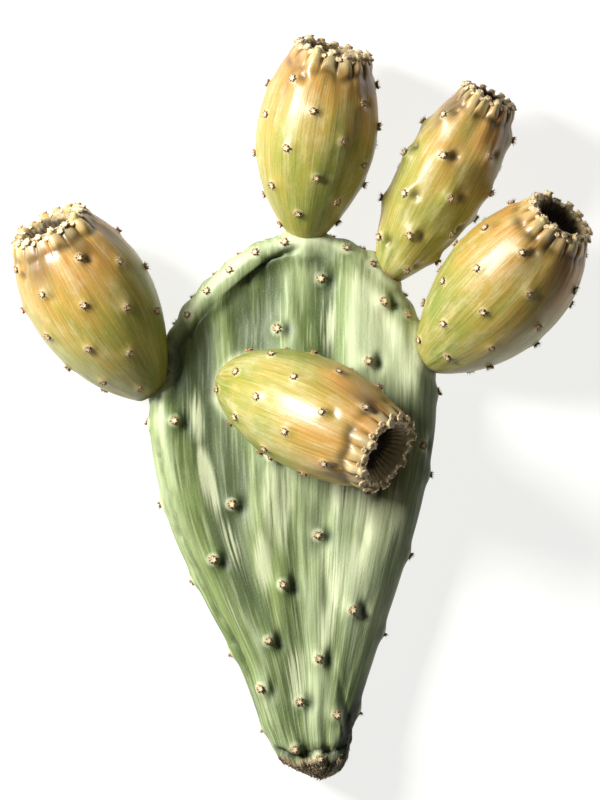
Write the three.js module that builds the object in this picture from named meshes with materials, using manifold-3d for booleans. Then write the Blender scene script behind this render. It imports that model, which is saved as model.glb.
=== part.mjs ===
// A prickly pear pad, picked and lying on its back, with the five fruits that grow on it: four round its
// upper margin and one on its face.
// Millimetres, +Z up. The origin is the middle of the flat spot that the pad lies on. +Y runs from the
// scarred base to the round top of the pad, and +Z points out of the face that carries the front fruit.
import * as THREE from "three";
import { mergeVertices } from "three/addons/utils/BufferGeometryUtils.js";
import Module from "manifold-3d";

const wasm = await Module();
wasm.setup();

// The pad seen from its face: the outline runs anticlockwise from the lowest point of the base.
const PAD_OUTLINE = [
  [4.5, -188], [14, -182], [19, -164], [27.5, -135], [39.5, -99], [50, -62], [56, -22.5],
  [52.5, 8], [41.5, 32.5], [24.5, 51], [0, 58], [-22.5, 55], [-44, 40.5], [-62, 19], [-71.5, -9],
  [-72.5, -36], [-64.5, -73], [-48, -109], [-32.5, -138], [-21.5, -166], [-14, -180], [-6.5, -184.5],
];
const BASE_Y = PAD_OUTLINE[0][1];
const TOP_Y = 58;
const BLADE_CENTRE = { x: -8, y: -50 }; // the middle of the pad's broad part
const HALF_WIDTH = 64;
const HALF_LENGTH_UP = TOP_Y - BLADE_CENTRE.y;
const HALF_LENGTH_DOWN = BLADE_CENTRE.y - BASE_Y;

// The face and the underside are two shallow surfaces that a rounded margin joins.
const FACE_HEIGHT = 30; // the face above the flat spot, at its highest
const FACE_FALL = 5; // what the face loses from there to the margin
const NECK_SWELL = 3; // what it gains again at the thick woody base
const BELLY_CUT = 1; // how much of the belly the flat spot takes off
const BELLY_SPAN = { x: 11, y: 20 }; // how slowly the belly rises round the flat spot
const TOP_CURL = 7; // how far both surfaces rise towards the round top
const SIDE_CURL = 3.5; // the same to either side
const MARGIN_DEPTH = 14; // how far in from the outline the rounded margin reaches
const BASE_MARGIN_DEPTH = 7; // the same at the blunt base
const BASE_MARGIN = [-147, -177]; // the y where the margin starts to thin, and where it is as thin as that
const NECK = [-0.55, -0.95]; // where the neck swells, as a share of the way down from the blade's middle
const ROLL_HEIGHT = 3.0; // how far the face sinks inside the rolled margin of its upper left
const ROLL_FOOT = [10, 17]; // in from the outline: where it starts to sink and where it is down
const ROLL_FADE = [24, 62]; // and where it is level again
const ROLL_RISE = [-15, 20]; // the y where the roll starts, and where it is whole
const ROLL_RIGHT = [-10, 25]; // the x where the roll starts to weaken, and where it is weakest
const ROLL_LOSS = 0.7; // the share that it has lost there

const PAD_SEGMENTS = 60;
const OUTLINE_SAMPLES = 720;
const MARGIN_STEPS = 4;
const FOOT_DEPTH = 19; // the ring of the pad's skin just inside the rolled margin
const FACE_STEPS = 4;
const SLOPE_REACH = 1.5; // how far each side of a point its slope is measured

// The areoles on each face stand in slanting rows, every second row set over by half a step.
const AREOLE_ROWS = 9;
const FIRST_ROW = 10.4; // along the pad from its base
const NECK_PITCH = 23;
const NECK_ROWS = 2;
const BLADE_PITCH = 28.6;
const ROW_SLOPE = 0.36;
const ROW_START = -0.85; // across the pad, as a share of its half width, in every second row
const ROW_STEP = 0.7;
const AREOLES_PER_ROW = 3;
const ROW_DEPTH = 4; // a row ends this far in from the outline
const FLANK_SPACING = 37; // between the areoles along the margin's two flanks
const CROWN_SPACING = 14.5; // and round its top, where the fruits come
const CROWN_ARC = 217.5; // the length of margin round the top that has the closer spacing
const CROWN_DEPTH = 4.5; // every second one there stands this far in from the outline, on the face
const SEAT_CLEARANCE = 10.5; // no areole of the pad stands nearer than this to where a fruit grows
const AREOLE_SPACING = 10; // of two areoles nearer than this, only one stands

// An areole: a five-sided button sunk in the skin. On the pad it stands on a low swelling.
const AREOLE_SIDES = 5;
const BUTTON = { radius: 1.9, topRadius: 1.4, height: 1.3, root: 1.2 };
const SWELLING = { radius: 5.4, height: 1.1, root: 0.9 };

// What the fruits share. Shares of the length run from 0 at the seat to 1 at the crown's rim.
const FRUIT_SEGMENTS = 32;
const FRUIT_STATIONS = [0, 0.05, 0.13, 0.24, 0.38, 0.53, 0.67, 0.8, 0.91, 1];
const PROFILE_POWER = 0.9;
const SEAT_DOME = 2.2;
const SEAT_GAP = 0.35; // between a fruit and the socket that it grows from
const SOCKET_REACH = 0.6; // the share of the fruit that the socket is cut round
const LOBES = FRUIT_SEGMENTS / 2; // the beads round the crown's rim
const FLUTE_DEPTH = 0.6;
const FLUTE_START = 0.62;
const LIP = { height: 1.9, bead: 0.8, inset: 1.4 };
const NAVEL_RINGS = [ // the hollow inside the rim: share of the rim's radius, and depth below the rim
  [0.74, 0.6], [0.54, 4.6], [0.26, 6.6],
];
const NAVEL_DEPTH = 6;
const FIRST_AREOLE = 0.09;
const LAST_AREOLE = 0.9;
const PAD_CLEARANCE = 4; // no areole of a fruit stands nearer than this to the pad's skin
const GOLDEN_TURN = Math.PI * (3 - Math.sqrt(5));

// Each fruit: the middle of its seat, the middle of its crown, how far its axis bows out halfway, its
// greatest radius and where along it that lies, the radii of its foot and of its crown as shares of it,
// its number of areoles, the turn of the first of them, and whether they stand on swellings.
const FRUITS = {
  fruit_top: {
    seat: [-2.7, 54.5, 21.5], crown: [9.5, 139, 36], bow: [-2.1, 0.3, 0], radius: 27.2,
    widest: 0.58, foot: 0.2, rim: 0.62, areoles: 32, turn: 0.4, swollen: false,
  },
  fruit_left: {
    seat: [-72, -13.5, 18.6], crown: [-118, 60.5, 41.5], bow: [-1.2, -0.8, 0], radius: 28.3,
    widest: 0.6, foot: 0.26, rim: 0.6, areoles: 32, turn: 1.3, swollen: false,
  },
  fruit_upper_right: {
    seat: [34.2, 39.2, 18.5], crown: [79.5, 118.5, 33], bow: [0.4, -0.3, 0], radius: 21,
    widest: 0.58, foot: 0.3, rim: 0.6, areoles: 26, turn: 2.1, swollen: true,
  },
  fruit_lower_right: {
    seat: [52.5, 0.8, 18], crown: [111, 63.5, 57], bow: [1.7, -1.7, 0], radius: 28.4,
    widest: 0.58, foot: 0.27, rim: 0.54, areoles: 32, turn: 0.9, swollen: false,
  },
  fruit_front: {
    seat: [-37, -9.5, 28], crown: [32.5, -41, 80], bow: [-3.2, 3.7, 0.5], radius: 26,
    widest: 0.6, foot: 0.36, rim: 0.69, areoles: 32, turn: 1.9, swollen: false,
  },
};

const PAD_GREEN = new THREE.MeshStandardMaterial({ color: 0x74955e, roughness: 0.62, metalness: 0 });
const FRUIT_SKIN = new THREE.MeshStandardMaterial({ color: 0xb9a84e, roughness: 0.5, metalness: 0 });

// Turns a closed geometry into a solid, with its shared corners merged.
function solidOf(geometry) {
  const bare = geometry.clone();
  bare.deleteAttribute("normal");
  bare.deleteAttribute("uv");
  const merged = mergeVertices(bare, 1e-4);
  return new wasm.Manifold(new wasm.Mesh({
    numProp: 3,
    vertProperties: merged.attributes.position.array,
    triVerts: new Uint32Array(merged.index.array),
  }));
}

// Turns a solid back into a geometry.
function geometryOf(solid) {
  const mesh = solid.getMesh();
  const geometry = new THREE.BufferGeometry();
  geometry.setAttribute("position", new THREE.BufferAttribute(mesh.vertProperties, 3));
  geometry.setIndex(new THREE.BufferAttribute(mesh.triVerts, 1));
  geometry.computeVertexNormals();
  return geometry;
}

// A closed skin over rings of points, all with one count, between a first and a last pole. Seen from
// outside, each ring runs anticlockwise about the way from the first pole to the last.
function skinOver(firstPole, rings, lastPole) {
  const count = rings[0].length;
  const corners = [firstPole, ...rings.flat(), lastPole];
  const index = [];
  const at = (ring, i) => 1 + ring * count + (i % count);
  const last = corners.length - 1;
  for (let i = 0; i < count; i++) {
    index.push(0, at(0, i + 1), at(0, i));
    for (let ring = 0; ring + 1 < rings.length; ring++) {
      index.push(at(ring, i), at(ring, i + 1), at(ring + 1, i + 1));
      index.push(at(ring, i), at(ring + 1, i + 1), at(ring + 1, i));
    }
    index.push(last, at(rings.length - 1, i), at(rings.length - 1, i + 1));
  }
  const geometry = new THREE.BufferGeometry().setFromPoints(corners);
  geometry.setIndex(index);
  return geometry;
}

function smoothStep([low, high], value) {
  const share = Math.min(1, Math.max(0, (value - low) / (high - low)));
  return share * share * (3 - 2 * share);
}

const outlineCurve = new THREE.CatmullRomCurve3(
  PAD_OUTLINE.map(([x, y]) => new THREE.Vector3(x, y, 0)), true, "centripetal",
);
outlineCurve.arcLengthDivisions = 2 * OUTLINE_SAMPLES;
const OUTLINE_LENGTH = outlineCurve.getLength();
const FINE_OUTLINE = outlineCurve.getSpacedPoints(OUTLINE_SAMPLES).slice(0, -1);

// Round the middle of the blade: the direction of each point of the outline, how far off it is, and how
// far off the outline's tangent passes there.
const OUTLINE_BY_ANGLE = FINE_OUTLINE.map((p, i) => {
  const next = FINE_OUTLINE[(i + 1) % FINE_OUTLINE.length];
  const along = next.clone().sub(FINE_OUTLINE.at(i - 1)).normalize();
  const x = p.x - BLADE_CENTRE.x;
  const y = p.y - BLADE_CENTRE.y;
  return { angle: Math.atan2(y, x), radius: Math.hypot(x, y), support: x * along.y - y * along.x };
}).sort((a, b) => a.angle - b.angle);

// Where a point lies on the way from the middle of the blade to the outline, and how deep inside it.
function placeInOutline(x, y) {
  const fromX = x - BLADE_CENTRE.x;
  const fromY = y - BLADE_CENTRE.y;
  const angle = Math.atan2(fromY, fromX);
  const next = Math.max(0, OUTLINE_BY_ANGLE.findIndex((sample) => sample.angle > angle));
  const b = OUTLINE_BY_ANGLE[next];
  const a = OUTLINE_BY_ANGLE.at(next - 1);
  const fullTurn = 2 * Math.PI;
  const step = (b.angle - a.angle + fullTurn) % fullTurn;
  const part = ((angle - a.angle + fullTurn) % fullTurn) / step;
  const radius = a.radius + (b.radius - a.radius) * part;
  const support = a.support + (b.support - a.support) * part;
  const share = Math.hypot(fromX, fromY) / radius;
  return { share, support, depth: (1 - share) * support };
}

// The lowest and highest x of the outline at one y.
function outlineSpan(y) {
  const crossings = FINE_OUTLINE.flatMap((p, i) => {
    const q = FINE_OUTLINE[(i + 1) % FINE_OUTLINE.length];
    return (p.y - y) * (q.y - y) <= 0 && p.y !== q.y
      ? [p.x + ((q.x - p.x) * (y - p.y)) / (q.y - p.y)]
      : [];
  });
  return [Math.min(...crossings), Math.max(...crossings)];
}

function marginDepthAt(y) {
  return MARGIN_DEPTH + (BASE_MARGIN_DEPTH - MARGIN_DEPTH) * smoothStep(BASE_MARGIN, y);
}

// How far the pad curls up at a point, towards its top and its sides.
function curlAt(x, y) {
  const up = Math.max(0, y) / TOP_Y;
  const across = (x - BLADE_CENTRE.x) / HALF_WIDTH;
  return TOP_CURL * up ** 2.5 + SIDE_CURL * across ** 4;
}

function undersideAt(x, y) {
  return Math.hypot(1, x / BELLY_SPAN.x, y / BELLY_SPAN.y) - 1 - BELLY_CUT + curlAt(x, y);
}

function faceAt(x, y) {
  const across = (x - BLADE_CENTRE.x) / HALF_WIDTH;
  const lengthways = y - BLADE_CENTRE.y;
  const along = lengthways / (lengthways > 0 ? HALF_LENGTH_UP : HALF_LENGTH_DOWN);
  const neck = NECK_SWELL * smoothStep(NECK, along);
  return FACE_HEIGHT - FACE_FALL * (across ** 2 + along ** 2) + neck + curlAt(x, y);
}

// How far the face sinks inside the rolled margin, which is strongest at the upper left.
function sinkAt(x, y, depth) {
  const strength = smoothStep(ROLL_RISE, y) * (1 - ROLL_LOSS * smoothStep(ROLL_RIGHT, x));
  return ROLL_HEIGHT * strength * smoothStep(ROLL_FOOT, depth) * (1 - smoothStep(ROLL_FADE, depth));
}

function midHeight(x, y) {
  return (faceAt(x, y) + undersideAt(x, y)) / 2;
}

// The height of the face (side 1) or of the underside (side -1) over a point. A quarter ellipse leads
// from the outline in to the margin's depth.
function padHeight(x, y, side) {
  const { depth } = placeInOutline(x, y);
  const inward = Math.min(1, Math.max(0, depth / marginDepthAt(y)));
  const middle = midHeight(x, y);
  const surface = side > 0 ? faceAt(x, y) - sinkAt(x, y, depth) : undersideAt(x, y);
  return middle + (surface - middle) * Math.sqrt(inward * (2 - inward));
}

// The outward normal of the face or the underside, from its slope over a short way each side.
function padNormal(x, y, side) {
  const d = SLOPE_REACH;
  const slopeX = (padHeight(x + d, y, side) - padHeight(x - d, y, side)) / (2 * d);
  const slopeY = (padHeight(x, y + d, side) - padHeight(x, y - d, side)) / (2 * d);
  return new THREE.Vector3(-slopeX * side, -slopeY * side, side).normalize();
}

function onPad(x, y, side) {
  return new THREE.Vector3(x, y, padHeight(x, y, side));
}

// A point of the outline moved in towards the middle of the blade, to a share of the way.
function movedIn(p, share) {
  return {
    x: BLADE_CENTRE.x + (p.x - BLADE_CENTRE.x) * share,
    y: BLADE_CENTRE.y + (p.y - BLADE_CENTRE.y) * share,
  };
}

function shareAtDepth(p, depth) {
  return 1 - depth / placeInOutline(p.x, p.y).support;
}

// The rings of one side of the pad's skin, from its middle out to just inside the outline.
function padSideRings(side) {
  const outline = outlineCurve.getSpacedPoints(PAD_SEGMENTS).slice(0, -1);
  const ringAt = (shareOf) => outline.map((p) => {
    const { x, y } = movedIn(p, shareOf(p));
    return onPad(x, y, side);
  });
  const footDepth = (p) => FOOT_DEPTH * (marginDepthAt(p.y) / MARGIN_DEPTH);
  const rings = [];
  for (let step = 1; step <= FACE_STEPS; step++)
    rings.push(ringAt((p) => (shareAtDepth(p, footDepth(p)) * step) / FACE_STEPS));
  for (let step = MARGIN_STEPS; step > 0; step--) {
    const reach = 1 - Math.cos((step / MARGIN_STEPS) * (Math.PI / 2));
    rings.push(ringAt((p) => shareAtDepth(p, marginDepthAt(p.y) * reach)));
  }
  return rings;
}

function padSkin() {
  const edge = outlineCurve.getSpacedPoints(PAD_SEGMENTS).slice(0, -1)
    .map((p) => new THREE.Vector3(p.x, p.y, midHeight(p.x, p.y)));
  const { x, y } = BLADE_CENTRE;
  const rings = [...padSideRings(-1), edge, ...padSideRings(1).reverse()];
  return skinOver(onPad(x, y, -1), rings, onPad(x, y, 1));
}

// Half the section of an areole, from its root up to its top: radius and height over the skin.
const PLAIN_SECTION = [
  [0, -BUTTON.root], [BUTTON.radius, -BUTTON.root], [BUTTON.topRadius, BUTTON.height], [0, BUTTON.height],
];
const SWOLLEN_TOP = SWELLING.height + BUTTON.height;
const SWOLLEN_SECTION = [
  [0, -SWELLING.root], [SWELLING.radius, -SWELLING.root], [BUTTON.radius, SWELLING.height],
  [BUTTON.topRadius, SWOLLEN_TOP], [0, SWOLLEN_TOP],
];

// An areole set on a skin, with its axis along the skin's normal.
function areoleAt(point, normal, swollen) {
  const section = (swollen ? SWOLLEN_SECTION : PLAIN_SECTION).map(([r, h]) => new THREE.Vector2(r, h));
  const turned = new THREE.LatheGeometry(section, AREOLE_SIDES);
  turned.applyQuaternion(new THREE.Quaternion().setFromUnitVectors(new THREE.Vector3(0, 1, 0), normal));
  turned.translate(point.x, point.y, point.z);
  return solidOf(turned);
}

// The areoles of one side. The underside's rows slant the other way.
function faceAreoles(side) {
  const found = [];
  for (let row = 0; row < AREOLE_ROWS; row++) {
    const rowY = BASE_Y + FIRST_ROW + NECK_PITCH * Math.min(row, NECK_ROWS)
      + BLADE_PITCH * Math.max(row - NECK_ROWS, 0);
    const [left, right] = outlineSpan(rowY);
    for (let k = 0; k < AREOLES_PER_ROW; k++) {
      const across = ROW_START + ROW_STEP * (k + ((row + 1) % 2) / 2);
      const offset = (across * (right - left)) / 2;
      const x = (left + right) / 2 + offset * side;
      const y = rowY - ROW_SLOPE * offset;
      const point = onPad(x, y, side);
      const offFloor = side > 0 || point.z > SWOLLEN_TOP;
      if (placeInOutline(x, y).depth > ROW_DEPTH && offFloor)
        found.push({ point, outward: padNormal(x, y, side), swollen: true });
    }
  }
  return found;
}

// How far along the outline the closer spacing round its top begins.
const FLANK = (OUTLINE_LENGTH - CROWN_ARC) / 2;

// The areoles on the very edge.
function edgeAreoles() {
  const lengths = [];
  for (let at = FLANK_SPACING; at < FLANK; at += FLANK_SPACING) lengths.push(at, OUTLINE_LENGTH - at);
  for (let at = 0; at < CROWN_ARC; at += CROWN_SPACING) lengths.push(FLANK + at);
  return lengths.map((length) => {
    const { x, y } = outlineCurve.getPointAt(length / OUTLINE_LENGTH);
    const outward = new THREE.Vector3(x - BLADE_CENTRE.x, y - BLADE_CENTRE.y, 0).normalize();
    return { point: new THREE.Vector3(x, y, midHeight(x, y)), outward, swollen: false };
  });
}

// Those that stand a little in on the face, halfway between two of the edge.
function crownAreoles() {
  const found = [];
  for (let at = CROWN_SPACING / 2; at < CROWN_ARC; at += CROWN_SPACING) {
    const p = outlineCurve.getPointAt((FLANK + at) / OUTLINE_LENGTH);
    const { x, y } = movedIn(p, shareAtDepth(p, CROWN_DEPTH));
    found.push({ point: onPad(x, y, 1), outward: padNormal(x, y, 1), swollen: false });
  }
  return found;
}

// Every areole of the pad that stands clear of the fruits and of those listed before it.
function padAreoles() {
  const seats = Object.values(FRUITS).map(({ seat }) => new THREE.Vector3(...seat));
  const standing = [];
  for (const areole of [...edgeAreoles(), ...crownAreoles(), ...faceAreoles(1), ...faceAreoles(-1)]) {
    const offSeats = seats.every((seat) => areole.point.distanceTo(seat) > SEAT_CLEARANCE);
    const apart = standing.every(({ point }) => areole.point.distanceTo(point) >= AREOLE_SPACING);
    if (offSeats && apart) standing.push(areole);
  }
  return standing;
}

// The axis of a fruit as a curve, and the directions across it at a share of its length.
function fruitAxis(fruit) {
  const seat = new THREE.Vector3(...fruit.seat);
  const crown = new THREE.Vector3(...fruit.crown);
  const handle = seat.clone().add(crown).multiplyScalar(0.5)
    .addScaledVector(new THREE.Vector3(...fruit.bow), 2);
  return new THREE.QuadraticBezierCurve3(seat, handle, crown);
}

function fruitFrame(axis, share) {
  const along = axis.getTangent(share);
  const sideways = new THREE.Vector3(0, 0, 1).cross(along).normalize();
  return { centre: axis.getPoint(share), along, sideways, upward: along.clone().cross(sideways) };
}

// A fruit's radius at a share of its length: two arcs, from the foot and from the rim, that meet at the
// widest place.
function fruitRadius(fruit, share) {
  const below = share < fruit.widest;
  const end = below ? fruit.foot : fruit.rim;
  const off = below ? 1 - share / fruit.widest : (share - fruit.widest) / (1 - fruit.widest);
  return fruit.radius * (end + (1 - end) * (1 - off ** 2) ** PROFILE_POWER);
}

// A point beside the axis: so far out in the direction of the turn, and so far on along the axis.
function placeAcross(frame, radius, turn, rise) {
  return frame.centre.clone()
    .addScaledVector(frame.sideways, radius * Math.cos(turn))
    .addScaledVector(frame.upward, radius * Math.sin(turn))
    .addScaledVector(frame.along, rise);
}

// A ring round the fruit's axis; radius and rise along the axis are functions of the turn.
function fruitRing(frame, radiusAt, riseAt) {
  return Array.from({ length: FRUIT_SEGMENTS }, (_, i) => {
    const turn = (i / FRUIT_SEGMENTS) * 2 * Math.PI;
    return placeAcross(frame, radiusAt(turn), turn, riseAt(turn));
  });
}

// The skin of a fruit: the barrel with flutes under the rim, the beaded rim and the navel inside it.
function fruitSkin(fruit) {
  const axis = fruitAxis(fruit);
  const rings = FRUIT_STATIONS.map((share) => {
    const flute = FLUTE_DEPTH * smoothStep([FLUTE_START, 1], share);
    const radius = fruitRadius(fruit, share);
    return fruitRing(fruitFrame(axis, share), (turn) => radius + flute * Math.cos(LOBES * turn), () => 0);
  });
  const rim = fruitFrame(axis, 1);
  const rimRadius = fruitRadius(fruit, 1);
  rings.push(fruitRing(
    rim, () => rimRadius - LIP.inset, (turn) => LIP.height + LIP.bead * Math.cos(LOBES * turn),
  ));
  for (const [share, depth] of NAVEL_RINGS)
    rings.push(fruitRing(rim, () => rimRadius * share, () => -depth));
  const foot = placeAcross(fruitFrame(axis, 0), 0, 0, -SEAT_DOME);
  return skinOver(foot, rings, placeAcross(rim, 0, 0, -NAVEL_DEPTH));
}

// The lower part of a fruit made larger by the gap, which the pad's socket is cut with.
function socketCutter(fruit) {
  const axis = fruitAxis(fruit);
  const rings = FRUIT_STATIONS.filter((share) => share < SOCKET_REACH).map((share) => fruitRing(
    fruitFrame(axis, share), () => fruitRadius(fruit, share) + SEAT_GAP, () => (share > 0 ? 0 : -SEAT_GAP),
  ));
  const foot = placeAcross(fruitFrame(axis, 0), 0, 0, -SEAT_DOME - SEAT_GAP);
  return solidOf(skinOver(foot, rings, axis.getPoint(SOCKET_REACH)));
}

// How far a point stands off the pad's skin; less than nothing inside the pad.
function heightOverPad({ x, y, z }) {
  const { share, depth } = placeInOutline(x, y);
  return share < 1 ? Math.max(z - padHeight(x, y, 1), padHeight(x, y, -1) - z) : -depth;
}

// The areoles of a fruit stand on one spiral with the golden turn between neighbours. Where it grows
// out of the pad it has none.
function fruitAreoles(fruit) {
  const axis = fruitAxis(fruit);
  const areoles = [];
  for (let i = 0; i < fruit.areoles; i++) {
    const share = FIRST_AREOLE + ((LAST_AREOLE - FIRST_AREOLE) * i) / (fruit.areoles - 1);
    const turn = fruit.turn + i * GOLDEN_TURN;
    const frame = fruitFrame(axis, share);
    const point = placeAcross(frame, fruitRadius(fruit, share), turn, 0);
    if (heightOverPad(point) < PAD_CLEARANCE) continue;
    const step = SLOPE_REACH / axis.getLength();
    const slope = (fruitRadius(fruit, share + step) - fruitRadius(fruit, share - step)) / (2 * SLOPE_REACH);
    const outward = placeAcross(frame, 1, turn, -slope).sub(frame.centre).normalize();
    areoles.push(areoleAt(point, outward, fruit.swollen));
  }
  return areoles;
}

function buildFruit(fruit) {
  return fruitAreoles(fruit).reduce((solid, areole) => solid.add(areole), solidOf(fruitSkin(fruit)));
}

// Everything under z = 0, which is cut off the belly.
function underFloor() {
  const size = 500;
  return solidOf(new THREE.BoxGeometry(size, size, size).translate(0, 0, -size / 2));
}

function buildPad() {
  let pad = solidOf(padSkin());
  for (const { point, outward, swollen } of padAreoles()) pad = pad.add(areoleAt(point, outward, swollen));
  for (const fruit of Object.values(FRUITS)) pad = pad.subtract(socketCutter(fruit));
  return pad.subtract(underFloor());
}

function meshOf(name, solid, material) {
  const mesh = new THREE.Mesh(geometryOf(solid), material);
  mesh.name = name;
  return mesh;
}

const plant = new THREE.Group();
plant.add(meshOf("pad", buildPad(), PAD_GREEN));
for (const [name, fruit] of Object.entries(FRUITS))
  plant.add(meshOf(name, buildFruit(fruit), FRUIT_SKIN));

export default plant;
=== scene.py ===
"""The looks of a picked prickly pear pad that lies on its back, with the five fruits that grow on it.

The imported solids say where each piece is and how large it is. Each of them gets a fine skin here, worked
out from the same form, with its felted areoles and the tufts of fine bristles on them. Sizes in the
formulas are in millimetres, and the meshes are in metres.
"""

from __future__ import annotations

import itertools
import logging
from collections.abc import Mapping, Sequence
from dataclasses import dataclass, field, replace
from enum import Enum
from functools import cached_property

import bpy
import numpy as np
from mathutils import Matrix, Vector


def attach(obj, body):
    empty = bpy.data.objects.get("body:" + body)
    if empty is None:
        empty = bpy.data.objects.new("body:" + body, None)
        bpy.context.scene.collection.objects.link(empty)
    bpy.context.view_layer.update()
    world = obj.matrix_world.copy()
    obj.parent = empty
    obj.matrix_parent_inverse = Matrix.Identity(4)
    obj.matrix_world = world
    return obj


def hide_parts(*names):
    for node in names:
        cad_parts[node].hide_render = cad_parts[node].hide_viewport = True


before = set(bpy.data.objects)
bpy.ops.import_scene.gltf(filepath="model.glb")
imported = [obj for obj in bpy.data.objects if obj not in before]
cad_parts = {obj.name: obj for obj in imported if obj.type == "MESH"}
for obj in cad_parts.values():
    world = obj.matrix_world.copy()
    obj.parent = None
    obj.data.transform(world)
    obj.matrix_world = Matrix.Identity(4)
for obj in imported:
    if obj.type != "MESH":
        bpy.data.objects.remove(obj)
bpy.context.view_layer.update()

log = logging.getLogger("prickly_pear")

Array = np.ndarray
Material = bpy.types.Material
Piece = bpy.types.Object
Colour = tuple[float, float, float, float]
Row = tuple[float, ...]
Span = tuple[float, float]
Triple = tuple[float, float, float]
MM = 0.001
FLOOR_GAP = 0.02  # how far above the floor's plane felt and needles stay, in millimetres
FULL_TURN = 2 * np.pi
GOLDEN_TURN = np.pi * (3 - np.sqrt(5))
NOISE_MEAN = 0.5
GRAIN_SHIFT = 90  # how far apart two fruits lie in the patterns, for a turn of 1
BODY = "root"


class Slot(Enum):
    """The material slots."""

    PAD = "pad_skin"
    FRUIT = "fruit_skin"
    FELT = "areole"
    CORK = "cork"


class Side(Enum):
    """The two broad sides of the pad."""

    FACE = 1
    UNDERSIDE = -1


# ---------------- numbers


def smooth_step(low: Array | float, high: Array | float, value: Array) -> Array:
    """An S-shaped step: 0 up to low, 1 from high on, and 3 s squared less 2 s cubed in between."""
    share = np.clip((value - low) / (high - low), 0, 1)
    return share * share * (3 - 2 * share)


def window(value: Array, start: Span, end: Span) -> Array:
    """Two smooth steps multiplied, so that only what lies between them counts."""
    return smooth_step(*start, value) * smooth_step(*end, value)


def unit(vectors: Array) -> Array:
    """Each vector divided by its length."""
    return vectors / np.maximum(np.linalg.norm(vectors, axis=-1, keepdims=True), 1e-12)


def bump_at(distance: Array, reach: Array | float) -> Array:
    """A round bump, 1 in the middle: e to the minus of the distance over the reach, squared."""
    return np.exp(-((distance / reach) ** 2))


def stacked(*parts: Array | float) -> Array:
    """Coordinates put side by side as points."""
    return np.stack(np.broadcast_arrays(*parts), axis=-1)


def turned(turn: Array, across: Array, upward: Array) -> Array:
    """Directions round an axis: across times the turn's cosine plus upward times its sine."""
    return np.cos(turn)[..., None] * across + np.sin(turn)[..., None] * upward


@dataclass(frozen=True)
class Noise:
    """Smooth random hills between -1 and 1, the same at each run.

    A random value belongs to each whole-number corner. In between, the eight corners round a point are
    blended by the smooth step of its place in each direction.
    """

    seed: int
    primes: tuple[int, int, int] = (73856093, 19349663, 83492791)
    table_size: int = 4096
    layer_shift: float = 17.3  # how far each layer lies from the one before

    @cached_property
    def table(self) -> Array:
        """The random values that the corners draw from."""
        return np.random.default_rng(self.seed).uniform(-1, 1, self.table_size)

    def at(self, points: Array) -> Array:
        """Blends the corners' values.

        Args:
            points: Points with three coordinates each.

        Returns:
            The height of the hills at each point.
        """
        cell = np.floor(points).astype(np.int64)
        part = points - cell
        ease = part * part * (3 - 2 * part)
        total = np.zeros(points.shape[:-1])
        for corner in itertools.product((0, 1), repeat=3):
            keys = (cell + np.array(corner)) * np.array(self.primes)
            key = keys[..., 0] ^ keys[..., 1] ^ keys[..., 2]
            weight = np.prod(np.where(np.array(corner) == 1, ease, 1 - ease), axis=-1)
            total += weight * self.table[key % self.table_size]
        return total

    def layered(self, points: Array, layers: int) -> Array:
        """Hills on hills: each layer is half as high and twice as fine as the one before."""
        sizes = [0.5**layer for layer in range(layers)]
        heights = [size * self.at(points / size + self.layer_shift * k) for k, size in enumerate(sizes)]
        return sum(heights) / sum(sizes)


@dataclass(frozen=True)
class Hills:
    """Random hills of a size, or of one in each direction, and of a height."""

    seed: int
    sizes: Triple | float
    height: float = 1.0
    layers: int = 2

    def at(self, points: Array) -> Array:
        """Their height at points with three coordinates each."""
        return self.height * Noise(self.seed).layered(points / np.array(self.sizes), self.layers)


# ---------------- meshes


@dataclass
class Skin:
    """A closed skin over rings of points between a first and a last pole, with values at its points.

    Seen from outside, each ring runs anticlockwise about the way from the first pole to the last.
    """

    name: str
    rings: Array
    first: Array
    last: Array
    values: dict[str, Array] = field(default_factory=dict)

    def normals(self) -> Array:
        """Crosses the step round the ring with the step from ring to ring.

        Returns:
            The outward normal at each point of the rings.
        """
        count = self.rings.shape[1]
        ends = [np.broadcast_to(pole, (1, count, 3)) for pole in (self.first, self.last)]
        column = np.concatenate([ends[0], self.rings, ends[1]])
        around = np.roll(self.rings, -1, axis=1) - np.roll(self.rings, 1, axis=1)
        return unit(np.cross(around, column[2:] - column[:-2]))

    def faces(self) -> list[list[int]]:
        """Joins the rings with quads, and each pole to the ring beside it with triangles.

        Returns:
            The corners of each face.
        """
        rows, count = self.rings.shape[:2]
        here = 1 + np.arange(rows * count).reshape(rows, count)
        beside = np.roll(here, -1, axis=1)
        quads = np.stack([here[:-1], beside[:-1], beside[1:], here[1:]], axis=-1).reshape(-1, 4)
        poles = np.array([0, 1 + rows * count])
        cap = np.stack([np.broadcast_to(poles[0], count), beside[0], here[0]], axis=-1)
        end = np.stack([np.broadcast_to(poles[1], count), here[-1], beside[-1]], axis=-1)
        return [*quads.tolist(), *cap.tolist(), *end.tolist()]

    def build(self) -> Piece:
        """Makes the object. A pole's values are the mean of the ring beside it.

        Returns:
            The object.
        """
        points = np.concatenate([self.first[None], self.rings.reshape(-1, 3), self.last[None]])
        values = {}
        for name, value in self.values.items():
            flat = value.reshape((-1,) + value.shape[2:])
            values[name] = np.concatenate([value[:1].mean(axis=1), flat, value[-1:].mean(axis=1)])
        return mesh_object(self.name, points, self.faces(), values)


def repeated(faces: Sequence[Sequence[int]], corners: int, copies: int) -> list[list[int]]:
    """The faces of one shape, once for each of its copies, which have so many corners each."""
    return [[corner + corners * copy for corner in face] for copy in range(copies) for face in faces]


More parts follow.
